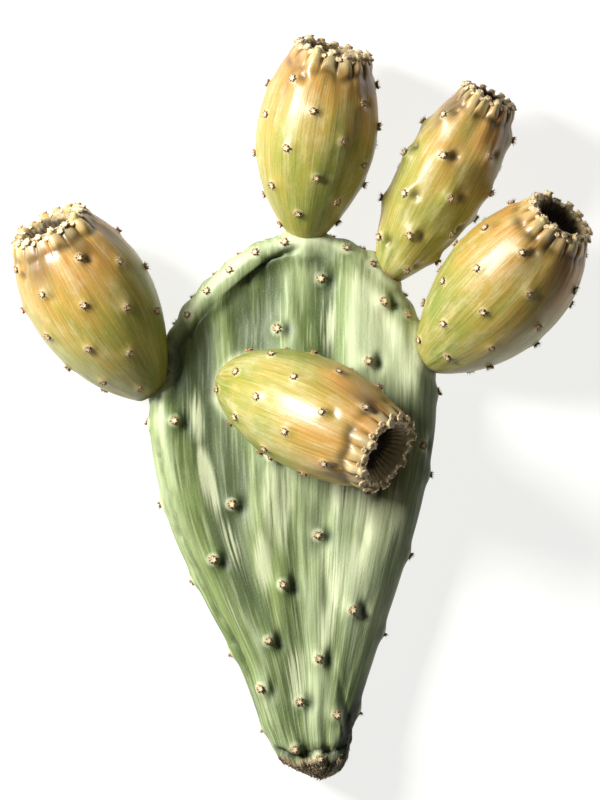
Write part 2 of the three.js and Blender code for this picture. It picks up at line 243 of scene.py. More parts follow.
def mesh_object(
    name: str, points: Array, faces: list[list[int]], values: Mapping[str, Array] | None = None
) -> Piece:
    """Makes a smooth mesh object at the origin.

    Args:
        name: The name of the object and of its mesh.
        points: The corners in millimetres.
        faces: The corner numbers of each face, anticlockwise seen from outside.
        values: Named numbers or vectors at the corners.

    Returns:
        The object.
    """
    mesh = bpy.data.meshes.new(name)
    mesh.from_pydata((points * MM).tolist(), [], faces)
    for key, value in (values or {}).items():
        vector = value.ndim == 2
        layer = mesh.attributes.new(key, "FLOAT_VECTOR" if vector else "FLOAT", "POINT")
        layer.data.foreach_set("vector" if vector else "value", value.astype(np.float32).ravel())
    mesh.shade_smooth()
    mesh.update()
    piece = bpy.data.objects.new(name, mesh)
    bpy.context.scene.collection.objects.link(piece)
    return piece


def finish_piece(piece: Piece, material: Material, node: str | None = None) -> None:
    """Dresses a piece, hides the solid that it stands for and hangs it from the body.

    Args:
        piece: The object.
        material: What it is made of.
        node: The solid that it stands for, if any.
    """
    piece.data.materials.append(material)
    if node:
        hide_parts(node)
    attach(piece, BODY)
    log.info("%s: %d corners, %d faces", piece.name, len(piece.data.vertices), len(piece.data.polygons))


# ---------------- shader nodes


@dataclass(frozen=True)
class Pattern:
    """One noise pattern: how fine it is, its layers, how rough they are and how it is stretched."""

    scale: float
    detail: float
    rough: float
    stretch: Triple | None = None


@dataclass(frozen=True)
class Blend:
    """How a pattern becomes a share: a smooth step from low to high, times a strength."""

    low: float
    high: float
    strength: float = 1.0


class Signal:
    """A shader socket that Python's operators work on: each one adds a Math node."""

    def __init__(self, nodes: Nodes, socket: bpy.types.NodeSocket) -> None:
        """Wraps one output socket of a material's tree."""
        self.nodes = nodes
        self.socket = socket

    def _math(self, operation: str, first: Value, second: Value, clamp: bool = False) -> Signal:
        """Adds one Math node."""
        inputs = {0: first, 1: second}
        return self.nodes.add("ShaderNodeMath", inputs, operation=operation, use_clamp=clamp)

    def __add__(self, other: Value) -> Signal:
        """This plus other."""
        return self._math("ADD", self, other)

    def __sub__(self, other: Value) -> Signal:
        """This less other."""
        return self._math("SUBTRACT", self, other)

    def __rsub__(self, other: Value) -> Signal:
        """Other less this."""
        return self._math("SUBTRACT", other, self)

    def __mul__(self, other: Value) -> Signal:
        """This times other."""
        return self._math("MULTIPLY", self, other)

    __radd__ = __add__
    __rmul__ = __mul__

    def clamped(self) -> Signal:
        """This held between 0 and 1."""
        return self._math("ADD", self, 0.0, clamp=True)

    def share(self, blend: Blend) -> Signal:
        """This as a share: nothing up to the blend's low, and its strength from its high on."""
        inputs = {"Value": self, "From Min": blend.low, "From Max": blend.high}
        step = self.nodes.add("ShaderNodeMapRange", inputs, interpolation_type="SMOOTHSTEP")
        return step * blend.strength


Value = Signal | float | Sequence[float]


class Nodes:
    """One material's node tree. Every node in it is added by one method."""

    def __init__(self, name: str) -> None:
        """Starts an empty material.

        Args:
            name: Its name.
        """
        self.material = bpy.data.materials.new(name)
        self.material.use_nodes = True
        self.tree = self.material.node_tree
        self.tree.nodes.clear()

    def add(
        self, kind: str, inputs: Mapping[int | str, Value], output: int | str | None = 0, **settings
    ) -> Signal | None:
        """Adds a node: first its settings, then what goes into its sockets.

        Args:
            kind: The node's type.
            inputs: The value or link of each socket, by its name or number.
            output: The name or number of the socket that the signal reads, or None at the tree's end.
            **settings: The node's own settings.

        Returns:
            The signal of that output.
        """
        node = self.tree.nodes.new(kind)
        for key, value in settings.items():
            setattr(node, key, value)
        for key, value in inputs.items():
            if isinstance(value, Signal):
                self.tree.links.new(value.socket, node.inputs[key])
            else:
                node.inputs[key].default_value = value
        return None if output is None else Signal(self, node.outputs[output])

    def value(self, name: str) -> Signal:
        """A number that the mesh holds at its corners."""
        return self.add("ShaderNodeAttribute", {}, "Fac", attribute_name=name)

    def noise(self, pattern: Pattern) -> Signal:
        """Adds a noise texture, along the grain if it is stretched and else by the place in metres.

        Args:
            pattern: The pattern.

        Returns:
            Noise between 0 and 1, about 0.5 on the whole.
        """
        if pattern.stretch:
            grain = self.add("ShaderNodeAttribute", {}, "Vector", attribute_name="grain")
            vector = self.add("ShaderNodeVectorMath", {0: grain, 1: pattern.stretch}, operation="MULTIPLY")
        else:
            vector = self.add("ShaderNodeTexCoord", {}, "Object")
        inputs = {"Vector": vector, "Scale": pattern.scale}
        inputs |= {"Detail": pattern.detail, "Roughness": pattern.rough}
        return self.add("ShaderNodeTexNoise", inputs, "Fac")

    def mix(self, share: Value, first: Value, second: Value) -> Signal:
        """A colour between two: the first at share 0 and the second at share 1."""
        return self.add("ShaderNodeMix", {0: share, 6: first, 7: second}, 2, data_type="RGBA")

    def painted(self, tone: Value, layers: Sequence[tuple[Signal, Blend, Colour]]) -> Signal:
        """A colour with layers over it: for each the signal that shows it, its share and its colour."""
        for signal, blend, colour in layers:
            tone = self.mix(signal.share(blend), tone, colour)
        return tone

    def bump(self, height: Signal, distance: float) -> Signal:
        """The normal that a height gives, where a height of 1 stands so many millimetres high."""
        return self.add("ShaderNodeBump", {"Height": height, "Distance": distance * MM}, "Normal")

    def finish(self, **sockets: Value) -> Material:
        """Ends the material in a Principled shader.

        Args:
            **sockets: What goes into its sockets, whose names have _ for a space.

        Returns:
            The material.
        """
        inputs = {key.replace("_", " "): value for key, value in sockets.items()}
        shader = self.add("ShaderNodeBsdfPrincipled", inputs)
        self.add("ShaderNodeOutputMaterial", {"Surface": shader}, None)
        return self.material


def screen(red: int, green: int, blue: int) -> Colour:
    """An opaque colour given in eight-bit screen values, as the shader's linear numbers."""
    shares = np.array([red, green, blue]) / 255
    linear = np.where(shares <= 0.04045, shares / 12.92, ((shares + 0.055) / 1.055) ** 2.4)
    return (*linear.tolist(), 1.0)


# ---------------- finishes


@dataclass(frozen=True)
class PadFinish:
    """The pad's skin: matt grey-green with a waxy bloom, finely streaked from base to top."""

    deep: Colour = screen(80, 98, 52)
    green: Colour = screen(128, 146, 84)
    bloom: Colour = screen(194, 204, 164)
    halo: Colour = screen(210, 216, 176)
    shade: Colour = screen(42, 52, 30)
    cork: Colour = screen(186, 164, 126)
    dark_cork: Colour = screen(60, 45, 30)
    lines: Pattern = Pattern(0.72, 2, 0.5, (1, 0.045, 1))
    streaks: Pattern = Pattern(0.085, 4, 0.6, (1, 0.2, 1))
    patches: Pattern = Pattern(0.03, 3, 0.5, (1, 0.4, 1))
    fibres: Pattern = Pattern(0.4, 5, 0.7, (1, 0.55, 1))
    specks: Pattern = Pattern(2600, 2, 0.5)
    grit: Pattern = Pattern(900, 3, 0.6)
    green_streaks: Blend = Blend(0.34, 0.66)
    pale_patches: Blend = Blend(0.44, 0.64, 0.45)
    pale_lines: Blend = Blend(0.52, 0.7, 0.45)
    dark_lines: Blend = Blend(0.48, 0.32, 0.5)
    # pale bloom and painted highlight on the raised waves and the rolled margin, and painted shade in the
    # valleys
    pale_ridges: Blend = Blend(0.1, 1.0, 0.72)
    dark_valleys: Blend = Blend(-0.1, -1.0, 0.66)
    # the wax patches' pale tone, partly painted light where lit patches fall
    thick_wax: Blend = Blend(0.1, 0.95, 0.66)
    pale_specks: Blend = Blend(0.6, 0.75, 0.28)
    tan_fibres: Blend = Blend(0.38, 0.6)
    ridge_streaks: float = 0.8  # how much the streaks break up the ridges
    wax_lines: float = 3.2  # and how much the lines and the streaks break up the wax
    wax_streaks: float = 2.4
    cork_streaks: float = 1.4
    hollow_shade: float = 0.78
    halo_streaks: Span = (1.5, -0.15)
    rough: Triple = (0.46, 0.22, 0.25)  # everywhere, on the streaks and on cork
    heights: Triple = (0.5, 0.4, 2.2)  # of the lines, the grit and the cork's fibres
    relief: float = 0.32

    def material(self) -> Material:
        """Lays streaks, wax with partly painted light patches, ridges with painted highlight and shade,
        specks, cork, the painted shade of hollows and pale rings over each other.

        Returns:
            The material.
        """
        nodes = Nodes("pad_skin")
        ways = (self.lines, self.streaks, self.patches, self.fibres, self.specks, self.grit)
        lines, streaks, patches, fibres, specks, grit = map(nodes.noise, ways)
        cork, hollow, halo = map(nodes.value, ("cork", "hollow", "halo"))
        uneven = streaks - NOISE_MEAN
        ridge = nodes.value("ridge") + uneven * self.ridge_streaks
        broken = (lines - NOISE_MEAN) * self.wax_lines + uneven * self.wax_streaks + 1.0
        wax = nodes.value("wax") * broken
        tone = nodes.painted(self.deep, (
            (streaks, self.green_streaks, self.green),
            (patches, self.pale_patches, self.bloom),
            (lines, self.pale_lines, self.bloom),
            (lines, self.dark_lines, self.deep),
            # painted highlight on the ridges, partly pale bloom, and painted shade in the valleys
            (ridge, self.pale_ridges, self.bloom),
            (ridge, self.dark_valleys, self.shade),
            # pale wax patches, partly painted light
            (wax, self.thick_wax, self.halo),
            (specks, self.pale_specks, self.halo),
        ))
        rind = nodes.mix(fibres.share(self.tan_fibres), self.dark_cork, self.cork)
        tone = nodes.mix((cork + uneven * cork * self.cork_streaks).clamped(), tone, rind)
        # painted shade in the areoles' hollows, the crease, the scar's groove and along the right edge
        tone = nodes.mix((hollow * self.hollow_shade).clamped(), tone, self.shade)
        gain, start = self.halo_streaks
        tone = nodes.mix((halo * (streaks * gain + start)).clamped(), tone, self.halo)
        even, on_streaks, on_cork = self.rough
        line, grain_height, fibre = self.heights
        height = lines * line + grit * grain_height + fibres * cork * fibre
        return nodes.finish(
            Base_Color=tone,
            Roughness=even + streaks * on_streaks + cork * on_cork,
            Normal=nodes.bump(height, self.relief),
            Specular_IOR_Level=0.45,
        )


@dataclass(frozen=True)
class FruitFinish:
    """A fruit's skin: yellow-green with a rosy blush towards the crown, a waxy bloom and a soft shine."""

    green: Colour = screen(130, 138, 58)
    yellow: Colour = screen(186, 156, 68)
    blush: Colour = screen(172, 88, 48)
    bloom: Colour = screen(212, 202, 158)
    shade: Colour = screen(62, 52, 24)
    cork: Colour = screen(142, 108, 70)
    dark_cork: Colour = screen(52, 38, 26)
    # the navel's dark: partly its dry scar, partly painted shade
    pit: Colour = screen(26, 19, 12)
    lines: Pattern = Pattern(1.15, 2, 0.5, (1, 1, 0.035))
    clouds: Pattern = Pattern(0.055, 4, 0.62, (1, 1, 0.6))
    wax: Pattern = Pattern(0.13, 5, 0.7, (1, 1, 0.5))
    specks: Pattern = Pattern(1900, 2, 0.5)
    crumbs: Pattern = Pattern(520, 4, 0.65)
    grit: Pattern = Pattern(1100, 3, 0.6)
    crust: Pattern = Pattern(700, 4, 0.7)
    pale_wax: Blend = Blend(0.45, 0.7, 0.34)
    pale_lines: Blend = Blend(0.5, 0.72, 0.22)
    dark_lines: Blend = Blend(0.48, 0.3, 0.26)
    pale_specks: Blend = Blend(0.62, 0.72, 0.35)
    tan_crumbs: Blend = Blend(0.36, 0.62)
    yellowing: Triple = (0.9, 0.42, 2.2)  # by ripeness, and by the clouds above a value
    blushing: Triple = (0.25, 1.1, 0.85)  # above a ripeness, by the clouds, and at most
    hollow_wax: float = 0.5  # how much the wax breaks up the hollows
    halo_wax: Span = (0.1, 0.7)  # how pale the rings are without wax, and at most
    rough: Row = (0.26, 0.24, 0.4, 0.45)  # everywhere, on wax, on cork and on the scar
    heights: Triple = (0.45, 0.3, 1.4)  # of the lines, the grit and the crust
    relief: float = 0.2

    def material(self) -> Material:
        """Lays ripeness, wax, lines, specks, the painted shade of hollows, pale rings, cork and the navel's
        dark, partly painted shade, over each other.

        Returns:
            The material.
        """
        nodes = Nodes("fruit_skin")
        ways = (self.lines, self.clouds, self.wax, self.specks, self.crumbs, self.grit, self.crust)
        lines, clouds, wax, specks, crumbs, grit, crust = map(nodes.noise, ways)
        ripe, hollow, halo, cork, pit = map(nodes.value, ("blush", "hollow", "halo", "cork", "pit"))
        by_ripeness, cloud_start, by_clouds = self.yellowing
        yellow = (ripe * by_ripeness + (clouds - cloud_start) * by_clouds).clamped()
        ripe_start, by_clouds, most = self.blushing
        rosy = (ripe - ripe_start + (clouds - NOISE_MEAN) * by_clouds).clamped() * most
        tone = nodes.mix(rosy, nodes.mix(yellow, self.green, self.yellow), self.blush)
        tone = nodes.painted(tone, (
            (wax, self.pale_wax, self.bloom),
            (lines, self.pale_lines, self.bloom),
            (lines, self.dark_lines, self.shade),
            (specks, self.pale_specks, self.bloom),
        ))
        # painted shade in the hollows, the folds, the gaps between the beads, the waist and the pleats
        broken = wax * self.hollow_wax + (1 - self.hollow_wax)
        tone = nodes.mix((hollow * broken).clamped(), tone, self.shade)
        bare, most = self.halo_wax
        tone = nodes.mix(halo * (wax + bare) * most, tone, self.bloom)
        rind = nodes.mix(crumbs.share(self.tan_crumbs), self.dark_cork, self.cork)
        tone = nodes.mix((cork + (clouds - NOISE_MEAN) * cork).clamped(), tone, rind)
        tone = nodes.mix(pit, tone, self.pit)
        even, on_wax, on_cork, on_scar = self.rough
        line, grain_height, crusty = self.heights
        height = lines * line + grit * grain_height + crust * cork * crusty
        return nodes.finish(
            Base_Color=tone,
            Roughness=even + wax * on_wax + cork * on_cork + pit * on_scar,
            Normal=nodes.bump(height, self.relief),
            Specular_IOR_Level=0.6,
        )


@dataclass(frozen=True)
class FibreFinish:
    """A matt finish of short fibres, which goes from one tone to the other as the mesh's "worn" grows."""

    name: str
    fresh: Colour
    old: Colour
    fibres: Pattern
    worn: float
    ragged: float
    rough: Span
    relief: float
    sheen: float = 0.0

    def material(self) -> Material:
        """Mixes the two tones by how worn it is and by the fibres.

        Returns:
            The material.
        """
        nodes = Nodes(self.name)
        fibres = nodes.noise(self.fibres)
        worn = (nodes.value("worn") * self.worn + (fibres - NOISE_MEAN) * self.ragged).clamped()
        even, on_fibres = self.rough
        return nodes.finish(
            Base_Color=nodes.mix(worn, self.fresh, self.old),
            Roughness=even + fibres * on_fibres,
            Normal=nodes.bump(fibres, self.relief),
            Sheen_Weight=self.sheen,
        )


FELT = FibreFinish(  # short wool, pale tan and darker round the rim
    "areole_felt", screen(240, 220, 176), screen(122, 82, 42),
    Pattern(3200, 4, 0.7), 1.0, 0.8, (0.9, 0.08), 0.25, 0.25,
)
CORK = FibreFinish(  # dry shreds, brown and tan by turns
    "scar_cork", screen(74, 56, 38), screen(196, 172, 132),
    Pattern(900, 4, 0.7), 0.9, 1.0, (0.85, 0.1), 0.3,
)


@dataclass(frozen=True)
class BristleFinish:
    """The fine barbed bristles: glossy, dark brown at the root and golden at the tip."""

    root: Colour = screen(66, 42, 22)
    tip: Colour = screen(176, 124, 62)
    rough: Span = (0.42, 0.1)

    def material(self) -> Material:
        """Mixes the two tones along each bristle.

        Returns:
            The material.
        """
        nodes = Nodes("areole_bristles")
        along, (even, on_tip) = nodes.value("worn"), self.rough
        tone = nodes.mix(along, self.root, self.tip)
        return nodes.finish(Base_Color=tone, Roughness=even + along * on_tip)


@dataclass(frozen=True)
class FloorFinish:
    """The pale matt table, lit a little from within as a light table is."""

    paper: Colour = screen(150, 149, 147)
    lit: Colour = screen(247, 247, 245)
    glow: float = 0.87

    def material(self) -> Material:
        """Makes the material, the same all over."""
        return Nodes("pale_floor").finish(
            Base_Color=self.paper, Roughness=0.9, Emission_Color=self.lit, Emission_Strength=self.glow
        )


@dataclass(frozen=True)
class Materials:
    """The materials of all the pieces, each made once."""

    pad: Material
    fruit: Material
    felt: Material
    bristle: Material
    cork: Material

    @staticmethod
    def made() -> Materials:
        """Makes them."""
        finishes = (PadFinish(), FruitFinish(), FELT, BristleFinish(), CORK)
        return Materials(*(finish.material() for finish in finishes))


# ---------------- areoles


@dataclass(frozen=True)
class Kind:
    """The sizes of one kind of areole."""

    lift: float  # how high the skin swells under it; less than nothing sinks it
    reach: float  # how far out that goes
    hollow: float  # how deep the hollow beside it is
    felt: float  # the radius of the felt
    wear: float = 1.0  # how worn the felt is and how long its bristles are


@dataclass
class Areoles:
    """Where areoles stand: their places and outward directions, and the sizes of each as in its kind."""

    points: Array
    normals: Array
    lift: Array
    reach: Array
    hollow: Array
    felt: Array
    wear: Array

    @staticmethod
    def joined(groups: Sequence[Areoles]) -> Areoles:
        """All the areoles of several groups as one."""
        names = Areoles.__dataclass_fields__
        return Areoles(*(np.concatenate([getattr(group, name) for group in groups]) for name in names))

    @staticmethod
    def alike(points: Array, normals: Array, kind: Kind) -> Areoles:
        """Areoles that are all of one kind."""
        sizes = (kind.lift, kind.reach, kind.hollow, kind.felt, kind.wear)
        return Areoles(points, normals, *(np.zeros(len(points)) + size for size in sizes))

    def kept(self, keep: Array) -> Areoles:
        """The areoles that a row of yes and no keeps."""
        return Areoles(*(getattr(self, name)[keep] for name in self.__dataclass_fields__))

    def raised(self, rise: Array) -> Areoles:
        """The same areoles, each moved outwards with the skin."""
        return replace(self, points=self.points + rise[:, None] * self.normals)


@dataclass(frozen=True)
class Swellings:
    """What the skin does round its areoles: it swells under each, with a hollow on the shaded side that is
    darkened with painted shade.
    """

    shade_way: Triple = (0.96, -0.12, -0.15)
    hollow_off: float = 5.1
    hollow_reach: Triple = (2.6, 2.6, 2.6)
    # how dark the painted shade in the hollows is, and how far out it goes
    hollow_dark: float = 1.0
    dark_reach: float = 0.9  # how far out the dark goes, as a share of the hollow's reach
    full_hollow: float = 1.6  # a hollow this deep is as dark as any
    halo: Span = (3.7, 2.2)  # how far out the pale ring ends, and where it is whole

    def hollow_places(self, areoles: Areoles) -> Array:
        """The middles of the hollows, a little way off along the skin."""
        way = np.array(self.shade_way)
        slip = way - (areoles.normals @ way)[:, None] * areoles.normals
        return areoles.points + self.hollow_off * unit(slip)

    def lift_at(self, points: Array, areoles: Areoles) -> Array:
        """Adds a round bump at each areole and takes one away at each hollow.

        Args:
            points: Points of the skin.
            areoles: The areoles on it.

        Returns:
            How far the skin is raised at each point.
        """
        total = np.zeros(points.shape[:-1])
        rows = zip(areoles.points, self.hollow_places(areoles), areoles.lift, areoles.reach, areoles.hollow)
        for middle, pit, lift, reach, hollow in rows:
            total += lift * bump_at(np.linalg.norm(points - middle, axis=-1), reach)
            total -= hollow * bump_at(np.linalg.norm((points - pit) / self.hollow_reach, axis=-1), 1.0)
        return total

    def marks_at(self, points: Array, areoles: Areoles) -> tuple[Array, Array]:
        """Looks up the pale rings and the painted shade in the hollows.

        Args:
            points: Points of the skin.
            areoles: The areoles on it.

        Returns:
            How pale a ring is at each point, and how dark the painted shade in a hollow is.
        """
        halo = np.zeros(points.shape[:-1])
        dark = np.zeros(points.shape[:-1])
        for middle, pit, hollow in zip(areoles.points, self.hollow_places(areoles), areoles.hollow):
            halo = np.maximum(halo, smooth_step(*self.halo, np.linalg.norm(points - middle, axis=-1)))
            # painted shade in the hollow beside each areole
            if hollow > 0:
                off = np.linalg.norm((points - pit) / self.hollow_reach, axis=-1)
                strength = self.hollow_dark * min(1, hollow / self.full_hollow)
                dark = np.maximum(dark, strength * bump_at(off, self.dark_reach))
        return halo, dark


def needles(name: str, feet: Array, tips: Array, foot_wear: float) -> Piece:
    """Makes pointed needles, none of which reaches below the flat spot that the pad lies on.

    Args:
        name: The object's name.
        feet: The corners of each needle's foot, anticlockwise seen from its tip.
        tips: The point of each needle.
        foot_wear: The value "worn" at the foot. It is 1 at the tip.

    Returns:
        The object.
    """
    count, sides = feet.shape[:2]
    block = np.concatenate([feet, tips[:, None]], axis=1).reshape(-1, 3)
    block[:, 2] = np.maximum(block[:, 2], FLOOR_GAP)
    flanks = [[k, (k + 1) % sides, sides] for k in range(sides)]
    foot = [[sides - 1, k + 1, k] for k in range(sides - 2)]
    worn = np.tile([foot_wear] * sides + [1.0], count)
    return mesh_object(name, block, repeated(flanks + foot, sides + 1, count), {"worn": worn})


@dataclass(frozen=True)
class Tufts:
    """The felt cushions and the bristles of a piece's areoles, each as one mesh."""

    petals: int = 6
    section: tuple[Row, ...] = (  # shares: radius, height, wear and petals
        (0.8, -0.35, 1.0, 0.4), (1.1, 0.12, 1.0, 1.0), (0.9, 0.46, 0.75, 0.9), (0.5, 0.42, 0.15, 0.4),
    )
    root: float = -0.5  # how high its lowest point is, as a share of its radius
    crown: float = 0.3  # and the middle of its top
    petal_depth: float = 0.2  # how far the lumps stand out of the edge, as a share of the radius
    petal_rise: float = 0.16  # how far they stand up, as a share of the cushion's radius
    gap_wear: float = 0.3  # how much darker the gaps between them are
    most_wear: float = 1.3
    ragged: float = 0.14
    bristles: int = 30
    bristle_sides: int = 3
    bristle_ring: Span = (0.45, 1.0)
    bristle_foot: float = 0.25  # how high on the felt they start, as a share of its radius
    bristle_length: Span = (0.6, 1.5)
    bristle_width: float = 0.09
    bristle_lean: Span = (0.1, 1.4)
    bristle_spin: float = 0.5  # how far a bristle stands out of its even place round the felt

    @staticmethod
    def frames(normals: Array) -> tuple[Array, Array]:
        """Two directions across each normal, which with it as the third are a right-handed set."""
        helper = np.where(np.abs(normals[:, 2:]) < 0.9, [[0.0, 0.0, 1.0]], [[1.0, 0.0, 0.0]])
        across = unit(np.cross(helper, normals))
        return across, np.cross(normals, across)

    def build(self, name: str, areoles: Areoles, seed: int, materials: Materials) -> None:
        """Makes the felt and the bristles of a piece's areoles."""
        finish_piece(self.cushions(f"{name}_areoles", areoles, seed), materials.felt)
        bristles = self.bristle_tufts(f"{name}_bristles", areoles, seed + 1)
        finish_piece(bristles, materials.bristle)

    def cushions(self, name: str, areoles: Areoles, seed: int) -> Piece:
        """Makes the felt: a ring of lumps round a dip, with two columns of corners to a lump.

        Radius and height are the section's. The radius is larger by the petal depth on a lump and smaller
        by it in a gap, and the height goes up and down by the petal rise in the same way.

        Args:
            name: The object's name.
            areoles: Where they stand.
            seed: The seed of the random draws.

        Returns:
            The object.
        """
        rng = np.random.default_rng(seed)
        count, columns = len(areoles.points), 2 * self.petals
        across, upward = self.frames(areoles.normals)
        turn = np.arange(columns) / columns * FULL_TURN + rng.uniform(0, FULL_TURN, (count, 1, 1))
        section = np.array(self.section)
        ups = np.cos(np.pi * np.arange(columns)) * section[:, 3:]
        uneven = rng.uniform(1 - self.ragged, 1 + self.ragged, (count, 1, columns))
        size = areoles.felt[:, None, None] * rng.uniform(1 - self.ragged, 1 + self.ragged, (count, 1, 1))
        lumps = areoles.wear[:, None, None] * ups
        radius = size * section[:, :1] * (1 + self.petal_depth * lumps) * uneven
        height = size * (section[:, 1:2] + self.petal_rise * lumps) * uneven
        out = turned(turn, across[:, None, None], upward[:, None, None])
        normal = areoles.normals[:, None, None]
        points = areoles.points[:, None, None] + radius[..., None] * out + height[..., None] * normal
        ends = [
            (areoles.points + share * areoles.felt[:, None] * areoles.normals)[:, None]
            for share in (self.root, self.crown)
        ]
        block = np.concatenate([ends[0], points.reshape(count, -1, 3), ends[1]], axis=1)
        block[..., 2] = np.maximum(block[..., 2], FLOOR_GAP)
        wear = np.clip(section[:, 2:3] - self.gap_wear * ups, 0, self.most_wear)
        worn = areoles.wear[:, None] * np.concatenate([[1.0], wear.ravel(), [0.0]])
        template = Skin("", points[0], ends[0][0], ends[1][0]).faces()
        faces = repeated(template, block.shape[1], count)
        return mesh_object(name, block.reshape(-1, 3), faces, {"worn": worn.ravel()})

    def bristle_tufts(self, name: str, areoles: Areoles, seed: int) -> Piece:
        """Makes the bristles: needles that lean out from a ring on the felt.

        Args:
            name: The object's name.
            areoles: Where they stand.
            seed: The seed of the random draws.

        Returns:
            The object.
        """
        rng = np.random.default_rng(seed)
        each, spin = (len(areoles.points), self.bristles), self.bristle_spin
        across, upward = self.frames(areoles.normals)
        turn = np.arange(self.bristles) / self.bristles * FULL_TURN + rng.uniform(-spin, spin, each)
        out = turned(turn, across[:, None], upward[:, None])
        size, normal = areoles.felt[:, None, None], areoles.normals[:, None]
        ring = rng.uniform(*self.bristle_ring, (*each, 1))
        foot = areoles.points[:, None] + size * (ring * out + self.bristle_foot * normal)
        lean = rng.uniform(*self.bristle_lean, (*each, 1))
        way = np.cos(lean) * normal + np.sin(lean) * out
        length = size * areoles.wear[:, None, None] * rng.uniform(*self.bristle_length, (*each, 1))
        beside = unit(np.cross(way, normal))
        corner_turn = np.arange(self.bristle_sides) / self.bristle_sides * FULL_TURN
        round_foot = turned(corner_turn, beside[:, :, None], np.cross(way, beside)[:, :, None])
        feet = foot[:, :, None] + self.bristle_width * size[..., None] * round_foot
        tips = foot + length * way
        return needles(name, feet.reshape(-1, self.bristle_sides, 3), tips.reshape(-1, 3), 0.0)


# ---------------- the pad


@dataclass(frozen=True)
class PadForm:
    """The plain form of the pad: its outline, its two broad surfaces and the rounded margin."""

    outline_points: tuple[Span, ...] = (
        (4.5, -188), (14, -182), (19, -164), (27.5, -135), (39.5, -99), (50, -62), (56, -22.5),
        (52.5, 8), (41.5, 32.5), (24.5, 51), (0, 58), (-22.5, 55), (-44, 40.5), (-62, 19), (-71.5, -9),
        (-72.5, -36), (-64.5, -73), (-48, -109), (-32.5, -138), (-21.5, -166), (-14, -180), (-6.5, -184.5),
    )
    top_y: float = 58
    centre: Span = (-8, -50)
    half_width: float = 64
    face_height: float = 30
    face_fall: float = 5
    neck_swell: float = 3
    neck: Span = (-0.55, -0.95)
    belly_cut: float = 1
    belly_span: Span = (11, 20)
    top_curl: float = 7
    side_curl: float = 3.5
    curl_powers: Span = (2.5, 4)
    margin_depth: float = 14
    base_margin_depth: float = 7
    base_margin: Span = (-147, -177)
    roll_height: float = 3.0
    roll_foot: Span = (10, 17)
    roll_fade: Span = (24, 62)
    roll_rise: Span = (-15, 20)
    roll_right: Span = (-10, 25)
    roll_loss: float = 0.7
    cubic_steps: int = 80
    samples: int = 1440
    slope_reach: float = 1.5
    widest_y: float = -36  # above this the streaks of the skin run straight up

    @cached_property
    def base_y(self) -> float:
        """The lowest y of the outline."""
        return self.outline_points[0][1]

    @cached_property
    def outline(self) -> Array:
        """Lays a smooth line through the given points.

        Between two given points it is a cubic whose tangents come from the neighbours, each step weighed
        by the square root of its length.

        Returns:
            Evenly spaced points of the outline, anticlockwise from the base.
        """
        given = np.array(self.outline_points, dtype=float)
        before, start, end, after = (np.roll(given, shift, axis=0) for shift in (1, 0, -1, -2))
        pairs = ((before, start), (start, end), (end, after))
        step = [np.sqrt(np.linalg.norm(b - a, axis=1))[:, None] for a, b in pairs]
        leave = (start - before) / step[0] - (end - before) / (step[0] + step[1]) + (end - start) / step[1]
        arrive = (end - start) / step[1] - (after - start) / (step[1] + step[2]) + (after - end) / step[2]
        leave, arrive = leave * step[1], arrive * step[1]
        t = (np.arange(self.cubic_steps) / self.cubic_steps)[None, :, None]
        cubic = (
            start[:, None]
            + leave[:, None] * t
            + (3 * (end - start) - 2 * leave - arrive)[:, None] * t**2
            + (2 * (start - end) + leave + arrive)[:, None] * t**3
        )
        return self.evenly(cubic.reshape(-1, 2), self.samples)

    @staticmethod
    def evenly(line: Array, count: int) -> Array:
        """Divides a closed line.

        Args:
            line: The points of the line. Its last point is joined to its first.
            count: How many points are wanted.

        Returns:
            Points at even steps along the line.
        """
        line = np.concatenate([line, line[:1]])
        lengths = np.concatenate([[0], np.cumsum(np.linalg.norm(np.diff(line, axis=0), axis=1))])
        wanted = np.arange(count) / count * lengths[-1]
        return np.stack([np.interp(wanted, lengths, line[:, k]) for k in (0, 1)], axis=-1)

    @cached_property
    def length(self) -> float:
        """The length of the outline."""
        return float(np.linalg.norm(np.roll(self.outline, -1, axis=0) - self.outline, axis=1).sum())

    def along_outline(self, lengths: Array) -> Array:
        """The points of the outline at lengths from the base."""
        steps = np.arange(self.samples) / self.samples * self.length
        return stacked(*(np.interp(lengths, steps, self.outline[:, k], period=self.length) for k in (0, 1)))

    @cached_property
    def by_angle(self) -> tuple[Array, Array, Array]:
        """Measures the outline from the middle of the blade.

        Returns:
            Angles, the distances of the outline there and the distances of its tangents.
        """
        arm = self.outline - np.array(self.centre)
        along = unit(np.roll(self.outline, -1, axis=0) - np.roll(self.outline, 1, axis=0))
        support = arm[:, 0] * along[:, 1] - arm[:, 1] * along[:, 0]
        return np.arctan2(arm[:, 1], arm[:, 0]), np.linalg.norm(arm, axis=1), support

    def place(self, x: Array, y: Array) -> tuple[Array, Array, Array]:
        """Looks up where points lie inside the outline.

        Args:
            x, y: The points.

        Returns:
            The share of the way from the middle to the outline, the distance of the outline's tangent,
            and what is left of that distance, the depth.
        """
        angles, radii, supports = self.by_angle
        arm_x, arm_y = x - self.centre[0], y - self.centre[1]
        angle = np.arctan2(arm_y, arm_x)
        support = np.interp(angle, angles, supports, period=FULL_TURN)
        share = np.hypot(arm_x, arm_y) / np.interp(angle, angles, radii, period=FULL_TURN)
        return share, support, (1 - share) * support

    def span(self, y: Array) -> tuple[Array, Array]:
        """Looks up how wide the pad is.

        Args:
            y: The heights to look up.

        Returns:
            The lowest and the highest x of the outline there.
        """
        top = int(np.argmax(self.outline[:, 1]))
        right = self.outline[: top + 1]
        left = np.concatenate([self.outline[:1], self.outline[:top:-1], self.outline[top : top + 1]])
        ends = [np.interp(y, np.maximum.accumulate(flank[:, 1]), flank[:, 0]) for flank in (left, right)]
        return ends[0], ends[1]

